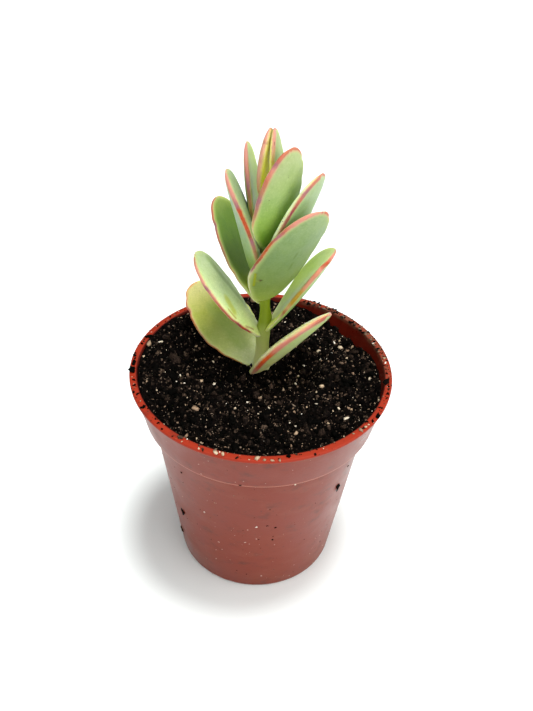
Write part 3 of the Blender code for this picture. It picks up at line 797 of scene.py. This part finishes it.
# ---------------------------------------------------------------------------------------------
# Leaves: six opposite pairs, each standing across the pair below. A leaf is a fleshy oval paddle
# with a blunt, thick margin that ripples and is nicked in places. It sits on the stem without a
# stalk. Its skin is green under a waxy bloom, and the light has turned its margin pink to red.
LEAF_TIP_THINNING = 0.55
LEAF_MARGIN_THICKNESS = 0.9 * MM
LEAF_BASE_ROUNDING = 0.08
LEAF_SHOULDER = 1.3
LEAF_TIP_FULLNESS = 2.3
LEAF_TIP_ROUNDNESS = 2.1
LEAF_END_FULLNESS = 8
LEAF_STEPS = 40
LEAF_SIDES = 112
LEAF_RINGS = 130
RIPPLE = 0.15 * MM
RIPPLE_LENGTH = 2.2 * MM
RIPPLE_GROWTH = 3  # how fast the ripple grows from the base, and fades towards the tip
RIPPLE_FADING = 12
NICK_LENGTH = 0.9 * MM
FACE_BLENDING = 0.9 * MM
RIM_STEPS = 200  # points along a margin, when distances from it are measured
MARK_REACH = 1.6  # a mark's strength in its middle, cut off at 1, and its fall per width
MARK_FALL = 1.3


class Leaf:
    """One leaf, grown from the stem: angles in degrees, lengths in millimetres.

    height: of its base on the stem          azimuth, rise: which way its middle points
    length, width: of the blade              roll: turn about its own length
    bend: curl towards the upper side        sweep: curve within the blade
    twist: roll gained from base to tip      cup: how far the margins stand up
    seat: base's distance from the stem's axis, on the side seat_azimuth
    overhang: how far the base reaches back past its seat
    base: width of the blade's base, as a share        widest: where it is widest, as a share
    thickness: at the midrib, near the base
    """

    def __init__(self, name, height, azimuth, rise, length, width, roll=0, bend=10, sweep=0,
                 twist=5, cup=0.9, seat=1, overhang=0.3, base=0.35, widest=0.57, thickness=2.7,
                 seat_azimuth=None):
        self.name = name
        self.length = length * MM
        self.half_width = width * MM / 2
        self.cup = cup * MM
        self.thickness = thickness * MM
        self.bend, self.sweep, self.twist = (math.radians(a) for a in (bend, sweep, twist))
        self.base, self.widest = base, widest
        turn = Quaternion(Z_AXIS, math.radians(azimuth)) @ Quaternion(-Y_AXIS, math.radians(rise))
        along = turn @ X_AXIS
        spin = Quaternion(along, math.radians(roll))
        self.along = along
        self.across = spin @ (turn @ Y_AXIS)
        self.up = spin @ (turn @ Z_AXIS)
        side = math.radians(azimuth if seat_azimuth is None else seat_azimuth)
        root = stem_point(height * MM) + Vector((math.cos(side), math.sin(side), 0)) * seat * MM
        self.points = [root - self.directions(0)[0] * overhang * MM]
        for i in range(LEAF_STEPS):
            ahead = self.directions((i + 0.5) / LEAF_STEPS)[0]
            self.points.append(self.points[-1] + ahead * self.length / LEAF_STEPS)

    def directions(self, t):
        """Along, across and up, at share t of the leaf's length."""
        curl = Quaternion(self.across, -self.bend * (t - 0.5))
        along, up = curl @ self.along, curl @ self.up
        sweep = Quaternion(up, self.sweep * (t - 0.5))
        along, across = sweep @ along, sweep @ self.across
        twist = Quaternion(along, self.twist * (t - 0.5))
        return along, twist @ across, twist @ up

    def middle(self, t):
        spot = t * LEAF_STEPS
        i = min(int(spot), LEAF_STEPS - 1)
        return self.points[i].lerp(self.points[i + 1], spot - i)

    def outline(self, t):
        """Half width at share t, as a share of the largest: rounded at the base and at the tip."""
        if t < self.widest:
            grown = math.sin(math.pi / 2 * t / self.widest) ** LEAF_SHOULDER
            width = self.base + (1 - self.base) * grown
            rounding = math.sqrt(1 - (1 - min(t / LEAF_BASE_ROUNDING, 1)) ** 2)
            return width * rounding
        beyond = (t - self.widest) / (1 - self.widest)
        return max(0, 1 - beyond ** LEAF_TIP_FULLNESS) ** (1 / LEAF_TIP_ROUNDNESS)

    def section(self, t):
        """What all points at share t need: see surface."""
        along, across, up = self.directions(t)
        share = self.outline(t)
        ends = math.sqrt(max(0, 1 - (2 * t - 1) ** LEAF_END_FULLNESS))
        half = self.half_width * share
        margin = min(LEAF_MARGIN_THICKNESS / 2, half) * ends
        body = self.thickness * (1 + (LEAF_TIP_THINNING - 1) * t) / 2 * ends
        flat = min(0.98, max(0.2, 1 - margin / max(half, 0.01 * MM)))
        return self.middle(t), across, up, share, half, margin, body, flat

    def surface(self, section, angle, ripple=0):
        """A section's point at angle round its lens shape, and its height off the leaf's mid-plane."""
        middle, across, up, share, half, margin, body, flat = section
        x = math.cos(angle)
        edge = margin * math.sqrt(max(0, 1 - (max(0, abs(x) - flat) / (1 - flat)) ** 2))
        depth = edge + max(0, body - margin) * (1 - x * x) * share
        lift = self.cup * (share * x) ** 2
        point = middle + across * (half + ripple) * x + up * (lift + math.copysign(depth, math.sin(angle)))
        return point, depth


LEAVES = [
    Leaf("leaf_1_left", 52.5, 137, 28, 25.5, 15, roll=-6, bend=14, sweep=-8, twist=12, widest=0.55),
    Leaf("leaf_1_right", 54.7, -22, 53, 27, 13, roll=-19, bend=-7, sweep=5, twist=0, cup=0.1,
         seat=2, overhang=4, base=0.5, widest=0.53, thickness=4, seat_azimuth=-80),
    Leaf("leaf_2_left", 62.5, 180, 54, 25.5, 13, sweep=-7, twist=0, cup=0.4, seat=1.3, overhang=1,
         base=0.3, widest=0.6),
    Leaf("leaf_2_right", 63, 23, 49, 24.5, 13, roll=-28, bend=2, sweep=7, cup=1.4, seat=0.3,
         widest=0.62),
    Leaf("leaf_3_front", 74, -30, 65, 28.5, 15, roll=-24, bend=4, sweep=12, twist=0, cup=1.6,
         seat=1.7, overhang=1.5, base=0.42, widest=0.36, seat_azimuth=-80),
    Leaf("leaf_3_back", 70.5, 135, 52, 25.5, 13, roll=22, bend=12, twist=7, cup=0.7),
    Leaf("leaf_4_left", 79.5, 187, 75, 25, 12, roll=4, bend=-16, sweep=-8, twist=-16, cup=0.3,
         seat=2.7, overhang=0.3, base=0.5, thickness=4.5),
    Leaf("leaf_4_right", 79.5, -15, 70, 26.5, 14.5, roll=-15, bend=6, sweep=9, widest=0.54),
    Leaf("leaf_5_front", 87.5, -55, 77, 25, 13, roll=13, sweep=5, seat=1.5, overhang=0.8, base=0.43,
         widest=0.42, seat_azimuth=-80),
    Leaf("leaf_5_back", 84, 135, 74, 24, 12.5, roll=39, bend=12, sweep=-5, twist=7, cup=0.6),
    Leaf("leaf_6_left", 96.5, 181, 93, 15.5, 8.5, roll=-12, bend=17, sweep=-7, twist=2, cup=0.2,
         seat=1.5, overhang=-0.5),
    Leaf("leaf_6_right", 97, 3, 94, 15, 8.5, roll=-17, bend=15, sweep=3, twist=20, cup=0.2,
         overhang=-0.4, thickness=2),
]

# The colours of the leaves, from a deep green painted as shade in creases and channels to the reds
# of sunned margins.
PAINTED_SHADE_GREEN = "#56761C"
LEAF_GREEN = "#7C9A48"
OLIVE = "#8B9240"
FRESH = "#A5BA70"
GLAUCOUS = "#9AB483"
LIME = "#A7B32C"
CREAM = "#C6CE9E"
TAN = "#BF9A6C"
OCHRE = "#A4871F"
AMBER = "#C68848"
PINK = "#C68678"
FRINGE = "#C8A284"
CORAL = "#B4664E"
SCARLET = "#AA4014"
RUST = "#8E4828"
ROSE_BROWN = "#A47456"
MAUVE = "#94606A"
WINE = "#8A3240"
SPOT_BROWN = "#54452A"

# How each leaf is coloured. Faces run from base to tip: (share of length, colour). So do the
# margins, left and right as seen from the stem, but their stops also give a width, as a share of the
# usual band. Marks are strokes on a face: (face, from, to, width in mm, colour, strength), where
# 'from' and 'to' are (share of length, share of half width). Lean is how much lighter a face grows
# towards its left side. Shifts move the left and right margin's colours onto the lower face, in mm.
# Nicks are (side, share of length, depth in mm), with 1 for the left side and -1 for the right.
# Painted light and shade: lean paints a face lighter towards the side where more light falls, and the
# face stops paint bases where leaves overlap, and leaves that lie under others, darker; open leaves paler.
LOOKS = {
    "leaf_1_left": dict(
        # Painted shade: the face's middle is darker, where leaf_2_left shades it.
        upper=((0, "#D0D8AC"), (0.3, "#A4AE68"), (0.5, "#909A4C"), (0.7, "#A2A64A"), (0.95, "#BAB678")),
        lower=((0, GLAUCOUS),),
        left=((0.05, AMBER, 0.5), (0.3, "#B8743C", 1.1), (0.5, ROSE_BROWN, 1.1), (0.65, "#B8743C", 1.3),
            (0.8, CORAL, 1.4), (0.9, AMBER, 1.4)),
        right=((0.6, TAN, 0.2), (0.85, ROSE_BROWN, 0.6), (0.95, ROSE_BROWN, 0.9)),
        # Painted shade: a green stroke along the middle of the face.
        marks=(("upper", (0.25, 0.1), (0.7, 0.1), 1.8, LEAF_GREEN, 0.35),),
        lean=0.18, nicks=((1, 0.76, 0.4), (1, 0.68, 0.25), (1, 0.9, 0.3)),
    ),
    "leaf_1_right": dict(
        upper=((0, "#CCCC88"), (0.5, "#F0F2B8"), (1, "#D2D090")),
        lower=((0, "#C4C078"), (0.3, "#C8CE7E"), (0.6, "#B4C67C"), (1, "#B8CC8A")),
        left=((0, TAN, 0.3), (0.5, PINK, 0.5), (0.9, PINK, 1)),
        right=((0.05, TAN, 1.0), (0.14, "#C08068", 1.3), (0.22, "#CC4C14", 1.4), (0.45, "#E05A12", 1.5),
            (0.52, "#D8806C", 1.8), (0.74, "#D4826E", 1.8), (0.85, "#D89482", 1.8), (0.97, CORAL, 2.2)),
        marks=(("upper", (0.4, -0.75), (0.8, -0.85), 0.3, PINK, 0.5),),
        shifts=(0, 0.65), nicks=((-1, 0.3, -0.2), (-1, 0.55, -0.2)),
    ),
    "leaf_2_left": dict(
        # Painted light: this open leaf's upper face is painted pale for the light it catches.
        upper=((0, "#CCD68C"), (0.3, "#CCDC90"), (0.5, "#D4E6A4"), (0.7, "#C8D8A0"), (1, "#B0C290")),
        lower=((0, GLAUCOUS),),
        left=((0, CREAM, 0.6), (0.13, CREAM, 0.9), (0.17, SCARLET, 0.9), (0.21, WINE, 1),
            (0.26, SCARLET, 1), (0.32, WINE, 1), (0.4, CORAL, 1), (0.6, CORAL, 0.9), (0.72, PINK, 0.9),
            (0.78, MAUVE, 1.1), (0.84, PINK, 1), (0.95, PINK, 1), (1, ROSE_BROWN, 0.8)),
        right=((0, CREAM, 0.6), (0.9, CREAM, 0.6), (1, ROSE_BROWN, 0.6)),
        marks=(("upper", (0.54, 0.4), (0.44, 0.62), 1.3, "#C6D044", 0.85),
            ("upper", (0.5, 0.84), (0.4, 0.88), 0.35, "#B4A018", 0.8),
            ("upper", (0.25, 0.9), (0.15, 0.75), 0.25, WINE, 0.6),
            ("upper", (0.3, -0.65), (0.85, -0.65), 1, LEAF_GREEN, 0.55)),
        lean=0.2, nicks=((1, 0.79, -0.25), (1, 0.7, 0.2)),
    ),
    "leaf_2_right": dict(
        upper=((0, "#D8DC6C"), (0.3, "#86A01C"), (0.55, "#98B638"), (0.75, "#A0C054"), (1, "#BCD084")),
        lower=((0, LEAF_GREEN), (1, GLAUCOUS)),
        left=((0, CREAM, 0.9), (0.35, CREAM, 0.7), (0.7, TAN, 0.3), (0.95, ROSE_BROWN, 0.8)),
        right=((0.2, CREAM, 0.3), (0.3, "#94602A", 0.7), (0.36, TAN, 0.8), (0.42, OCHRE, 1.2),
            (0.54, OCHRE, 1.3), (0.6, "#C08468", 1.4), (0.8, "#C07C64", 1.5), (0.88, SCARLET, 1),
            (0.95, PINK, 1), (1, ROSE_BROWN, 1.1)),
        marks=(("upper", (0.81, -0.31), (0.81, -0.3), 0.25, OCHRE, 0.9),),
        lean=-0.15, nicks=((-1, 0.82, 0.35), (-1, 0.7, 0.25), (-1, 0.95, 0.3)),
    ),
    "leaf_3_front": dict(
        upper=((0, LIME), (1, FRESH)),
        lower=((0, "#8C9E3A"), (0.25, "#708442"), (0.5, "#6C8450"), (0.75, "#7A9260"), (1, "#92A672")),
        left=((0.6, CORAL, 0.2), (0.88, CORAL, 0.7), (0.97, CORAL, 1.1)),
        right=((0.12, CREAM, 0.4), (0.34, CREAM, 0.6), (0.39, MAUVE, 0.6), (0.46, RUST, 0.65),
            (0.55, "#B0501A", 0.75), (0.66, "#B0501A", 0.8), (0.74, MAUVE, 0.85), (0.8, CORAL, 0.9),
            (0.88, PINK, 1.05), (0.95, PINK, 1.1)),
        marks=(("lower", (0.31, -0.71), (0.31, -0.7), 0.3, SPOT_BROWN, 1.6),
            ("lower", (0.3, -0.8), (0.29, -0.74), 0.3, OLIVE, 0.6),
            ("lower", (0.37, -0.9), (0.24, -0.86), 0.28, "#8C9410", 1.0),
            # Painted shade along a crease in the lower face.
            ("lower", (0.4, 0.03), (0.63, -0.08), 0.15, PAINTED_SHADE_GREEN, 0.6)),
        lean=-0.04, nicks=((1, 0.93, 0.3), (-1, 0.9, 0.15)),
    ),
    "leaf_3_back": dict(
        # Painted shade: this leaf lies under the leaves in front of and above it, so its upper face is
        # painted deep green.
        upper=((0, "#B0B020"), (0.15, "#8A980C"), (0.35, "#567408"), (0.6, "#4A6C06"), (0.8, "#587A14"),
            (1, "#849A46")),
        lower=((0, GLAUCOUS),),
        left=((0.1, CREAM, 0.2), (0.35, TAN, 0.6), (0.55, ROSE_BROWN, 0.8), (0.68, CORAL, 0.8),
            (0.78, MAUVE, 0.9), (0.84, CORAL, 0.9), (0.92, CORAL, 1)),
        right=((0.75, TAN, 0), (0.9, AMBER, 0.6), (1, AMBER, 0.9)),
        # Painted shade in the face's channel, right of the middle.
        marks=(("upper", (0.15, 0.1), (0.85, -0.25), 1.5, PAINTED_SHADE_GREEN, 0.6),),
        lean=0.22, nicks=((1, 0.78, 0.3), (1, 0.7, 0.15)),
    ),
    "leaf_4_left": dict(
        upper=((0, "#92AA5C"), (0.5, "#A2BA88"), (1, "#A0B68A")),
        lower=((0, "#6A8A2C"), (0.15, "#7C9848"), (0.35, "#8EA870"), (0.6, "#8AA480"), (1, "#9AB48A")),
        left=((0.1, CREAM, 0), (0.25, TAN, 0.6), (0.36, ROSE_BROWN, 0.9), (0.46, MAUVE, 1.1),
            (0.52, RUST, 1.1), (0.6, "#B4440C", 1.2), (0.75, "#B4440C", 1.2), (0.79, MAUVE, 1.1),
            (0.87, PINK, 1.1), (1, PINK, 1.1)),
        right=((0, CREAM, 0.4), (0.8, CREAM, 0.5), (1, PINK, 1)),
    ),
    "leaf_4_right": dict(
        upper=((0, CREAM), (0.5, "#C4D4AE"), (1, "#C4D4AE")),
        lower=((0, "#5C7A1C"), (0.15, "#789A48"), (0.4, "#84A264"), (0.7, "#92AC78"), (1, "#9EB284")),
        left=((0.85, CORAL, 0.2), (0.95, CORAL, 0.8), (1, CORAL, 1.1)),
        right=((0.25, TAN, 0.2), (0.42, TAN, 0.6), (0.5, OCHRE, 0.8), (0.58, ROSE_BROWN, 0.9),
            (0.74, WINE, 0.9), (0.84, CORAL, 1.1), (0.9, MAUVE, 1.2), (0.95, CORAL, 1.2)),
        shifts=(0, 0.5), nicks=((-1, 0.9, -0.15),),
    ),
    "leaf_5_front": dict(
        upper=((0, LIME), (1, FRESH)),
        lower=((0, "#648E1E"), (0.2, "#6E9426"), (0.4, "#88A84C"), (0.6, "#98B06C"), (0.9, "#A4B27C")),
        left=((0.5, CORAL, 0.2), (0.8, CORAL, 0.5), (0.88, CORAL, 1), (1, CORAL, 1.4)),
        right=((0.28, CREAM, 0.2), (0.36, TAN, 0.6), (0.46, ROSE_BROWN, 0.9), (0.62, MAUVE, 1.2),
            (0.68, ROSE_BROWN, 1.3), (0.78, CORAL, 1.3), (0.87, PINK, 1.3), (0.91, MAUVE, 1.3),
            (0.95, CORAL, 1.3)),
        lean=0.06, nicks=((1, 0.84, 0.35), (1, 0.93, 0.1)),
    ),
    "leaf_5_back": dict(
        # Painted shade: the faces are deep green at the base, between the leaves beside it.
        upper=((0, "#4E7008"), (0.2, "#728E24"), (0.4, "#7C9828"), (0.7, "#769224"), (0.85, "#9CB252"),
            (1, "#A8BC66")),
        lower=((0, "#567808"), (0.4, "#5C7C0A"), (0.7, "#6C8814"), (0.85, "#98AE52"), (1, "#AABC74")),
        left=((0.2, CREAM, 0.2), (0.45, "#98803C", 0.6), (0.6, ROSE_BROWN, 0.9), (0.7, MAUVE, 1.1),
            (0.8, PINK, 1.3)),
        right=((0.5, CREAM, 0.3), (0.8, ROSE_BROWN, 0.5), (1, PINK, 1.2)),
        # Painted shade on the lower right of the upper face.
        marks=(("upper", (0.1, -0.4), (0.7, -0.5), 1, LEAF_GREEN, 0.5),),
    ),
    "leaf_6_left": dict(
        # Painted glow: the upper face and the margin by the gap are bright yellow-green, for light shining
        # through this pair.
        upper=((0, "#D8DC50"), (0.4, "#FFFA4C"), (1, "#E4DC90")),
        lower=((0, "#92A650"), (1, "#A4B268")),
        left=((0, CREAM, 0.4), (0.25, "#C49068", 1.4), (0.6, "#CC9880", 1.7), (1, "#D0907C", 1.7)),
        right=((0.2, "#D6D24C", 0.5), (0.7, "#D8C85A", 0.6), (0.85, "#CCA476", 0.9), (1, PINK, 1.2)),
        marks=(("upper", (0.88, 0.95), (0.9, 0.9), 0.2, WINE, 0.5),),
        shifts=(0.4, 0),
    ),
    "leaf_6_right": dict(
        # Painted glow: the upper face and the margin by the gap are bright yellow-green, for light shining
        # through this pair.
        upper=((0, "#D8DC50"), (0.5, "#FFFA4C"), (1, "#E4DC90")),
        lower=((0, "#84A044"), (0.5, "#8EA652"), (1, "#A6B674")),
        left=((0.8, CREAM, 0.3), (0.95, PINK, 0.6), (1, PINK, 1.2)),
        right=((0.2, "#D6D24C", 0.9), (0.6, "#D2C45A", 0.9), (0.74, "#C8A870", 1.0),
            (0.86, "#C08A74", 1.1), (1, PINK, 1.2)),
        marks=(("lower", (0.88, -0.95), (0.9, -0.92), 0.15, SPOT_BROWN, 0.5),),
        shifts=(0, 0.3),
    ),
}


def blend(stops, t):
    """Values between the stops (place, colour, ...) at share t: a linear colour, then the others."""
    first = last = stops[0]
    for stop in stops:
        if stop[0] <= t:
            first = stop
        last = stop
        if stop[0] > t:
            break
    gap = last[0] - first[0]
    share = min(1, max(0, (t - first[0]) / gap)) if gap else 0
    colour = np.array(linear(first[1])) * (1 - share) + np.array(linear(last[1])) * share
    return colour[:3], [a + (b - a) * share for a, b in zip(first[2:], last[2:])]


def margin_ripple(leaf, nicks, t, side):
    """How far the margin stands out at share t: small waves, and a few nicks."""
    spot = Vector((t * leaf.length / RIPPLE_LENGTH, side * 9.3, leaf.length / MM * 1.7))
    out = RIPPLE * noise.noise(spot) * 2 * min(1, RIPPLE_GROWTH * t) * min(1, RIPPLE_FADING * (1 - t))
    for nick_side, place, depth in nicks:
        if nick_side == side:
            out -= depth * MM * bell((t - place) * leaf.length, NICK_LENGTH)
    return out


def to_segment(points, start, end):
    """Distance of each point of the plane from a segment."""
    line = end - start
    share = np.clip(((points - start) @ line) / max(line @ line, 1e-12), 0, 1)
    return np.linalg.norm(points - start - share[:, None] * line, axis=1)


def leaf_mesh(leaf, look):
    """The leaf's skin, with the attributes that its finish is coloured by."""
    shape = bmesh.new()
    bmesh.ops.create_uvsphere(shape, u_segments=LEAF_SIDES, v_segments=LEAF_RINGS, radius=1)
    rings = {}
    rows, colours = [], []
    for vertex in shape.verts:
        ring = round(math.acos(max(-1, min(1, vertex.co.z))) / math.pi * LEAF_RINGS)
        angle = math.atan2(vertex.co.y, vertex.co.x)
        if ring not in rings:
            t = (1 - math.cos(math.pi * ring / LEAF_RINGS)) / 2
            faces = (*blend(look["lower"], t)[0], *blend(look["upper"], t)[0])
            sides = {}
            for side, name, shift in ((1, "left", 0), (-1, "right", 1)):
                ripple = margin_ripple(leaf, look.get("nicks", ()), t, side)
                rim, (width,) = blend(look[name], t)
                sides[side] = ripple, rim, width, look.get("shifts", (0, 0))[shift]
            rings[ring] = t, leaf.section(t), faces, sides
        t, section, faces, sides = rings[ring]
        x, y = math.cos(angle), math.sin(angle)
        ripple, rim, width, shift = sides[1 if x > 0 else -1]
        vertex.co, depth = leaf.surface(section, angle, ripple)
        rows.append((t * leaf.length, x * section[4], depth, math.copysign(1, -y), width, shift))
        colours.append((*faces, *rim))
    bmesh.ops.recalc_face_normals(shape, faces=shape.faces)
    mesh = to_mesh(leaf.name, shape)

    rows, colours = np.array(rows), np.array(colours)
    plane = rows[:, 0:2]
    nearest = np.full(len(rows), 1.0)
    for share in np.linspace(0, 1, RIM_STEPS):
        half = leaf.outline(share) * leaf.half_width
        for edge in (half, -half):
            nearest = np.minimum(nearest, np.hypot(plane[:, 0] - share * leaf.length, plane[:, 1] - edge))
    from_rim = np.hypot(nearest, rows[:, 2]) * rows[:, 3] - rows[:, 5] * MM
    share = np.clip(0.5 - from_rim / FACE_BLENDING, 0, 1)[:, None]
    face_colour = colours[:, 0:3] * (1 - share) + colours[:, 3:6] * share
    # Lean: painted light, a face made lighter towards its left side.
    face_colour *= 1 + look.get("lean", 0) * np.clip(rows[:, 1:2] / leaf.half_width, -1, 1)
    mark = np.zeros(len(rows))
    mark_colour = np.zeros((len(rows), 3))
    for face, start, end, width, colour, strength in look.get("marks", ()):
        start, end = (
            np.array((t * leaf.length, x * leaf.outline(t) * leaf.half_width)) for t, x in (start, end)
        )
        away = to_segment(plane, start, end) / (width * MM)
        wanted = (from_rim < 0) == (face == "upper")
        amount = np.where(wanted, strength * np.clip(MARK_REACH - MARK_FALL * away, 0, 1), 0)
        stronger = amount > mark
        mark = np.where(stronger, amount, mark)
        mark_colour[stronger] = linear(colour)[:3]
    for name, values in (
        ("from_rim", from_rim / MM),
        ("rim_width", rows[:, 4]),
        ("mark", mark),
        ("face", face_colour),
        ("rim", colours[:, 6:9]),
        ("mark_colour", mark_colour),
    ):
        kind, slot = ("FLOAT", "value") if values.ndim == 1 else ("FLOAT_VECTOR", "vector")
        attribute = mesh.attributes.new(name, kind, "POINT")
        attribute.data.foreach_set(slot, values.astype(np.float32).ravel())
    return mesh


# Leaf skin: green flesh that lets some light through, under a thin film of pale wax. Its colour is
# mottled, deeper in places and paler in fine grains. A painted glow makes it paler and yellower near
# the margin, for light shining through the thin leaf there. The margin's red lies in a narrow band with
# a soft fringe and a ragged inner edge.
WAX = "#C0D06C"
PAINTED_MARGIN_GLOW = "#CFD88C"
BAND_WIDTH_MM = 0.45
BAND_SHIFT_MM = 0.12
DEEP_TINT = (0.72, 0.82, 0.55)
PALE_TINT = (1.4, 1.3, 1.4)
leaf_skin, tree, shader, place = new_material("waxy_kalanchoe_leaf_skin")


def read(name, output="Fac"):
    """An attribute of the mesh."""
    return add_node("ShaderNodeAttribute", {}, output, attribute_name=name)


face = read("face", "Vector")
bloom = cloud(6)
fine = cloud(0.7, detail=4)
grain = cloud(0.25, detail=2)
mottles = cloud(2.2, detail=5, roughness=0.7)
from_rim = read("from_rim")
green = mixed(ranged(bloom, 0.35, 0.7, 0.0, 0.07), face, linear(WAX))
green = mixed(ranged(mottles, 0.42, 0.68, 0.0, 0.45), green, scaled(face, DEEP_TINT))
green = mixed(ranged(cloud(0.4), 0.45, 0.75, 0.0, 0.45), green, scaled(face, PALE_TINT))
# Painted glow: paler and yellower near the margin, for light shining through the thin leaf there.
green = mixed(ranged(calc("ABSOLUTE", from_rim), 1.3, 0.2, 0.0, 0.4), green, linear(PAINTED_MARGIN_GLOW))
green = mixed(ranged(cloud(0.9, detail=1), 0.765, 0.80, 0.0, 0.6), green, linear(SPOT_BROWN))
away = calc("ABSOLUTE", calc("SUBTRACT", from_rim, BAND_SHIFT_MM))
away = calc("MULTIPLY_ADD", calc("SUBTRACT", fine, 0.5), 0.35, away)
away = calc("MULTIPLY_ADD", calc("SUBTRACT", bloom, 0.5), 0.4, away)
away = calc("DIVIDE", away, calc("MULTIPLY", calc("MAXIMUM", read("rim_width"), 0.01), BAND_WIDTH_MM))
rim = read("rim", "Vector")
colour = mixed(ranged(away, 1.7, 0.8, 0.0, 0.7), green, mixed(0.6, rim, linear(FRINGE)))
rim = mixed(ranged(grain, 0.4, 0.8, 0.0, 0.25), rim, linear(PINK))
colour = mixed(ranged(away, 1.0, 0.55), colour, rim)
stroke = calc("MULTIPLY", read("mark"), ranged(fine, 0.2, 0.45, 0.4, 1.0))
set_inputs(shader, {
    "Base Color": mixed(stroke, colour, read("mark_colour", "Vector")),
    "Normal": bumps(fine, 0.12, 0.2),
    "Roughness": ranged(bloom, 0.3, 0.7, 0.42, 0.58),
    "IOR": 1.45,
    "Specular IOR Level": 0.28,
    "Subsurface Weight": 0.6,
    "Subsurface Radius": (1.0, 0.9, 0.25),
    "Subsurface Scale": 1.5 * MM,
    "Sheen Weight": 0.03,
    "Sheen Roughness": 0.4,
})

for leaf in LEAVES:
    made = new_object(leaf.name.replace("leaf", "fleshy_leaf"), leaf_mesh(leaf, LOOKS[leaf.name]), leaf_skin)
    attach(made, "root")
    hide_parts(leaf.name)
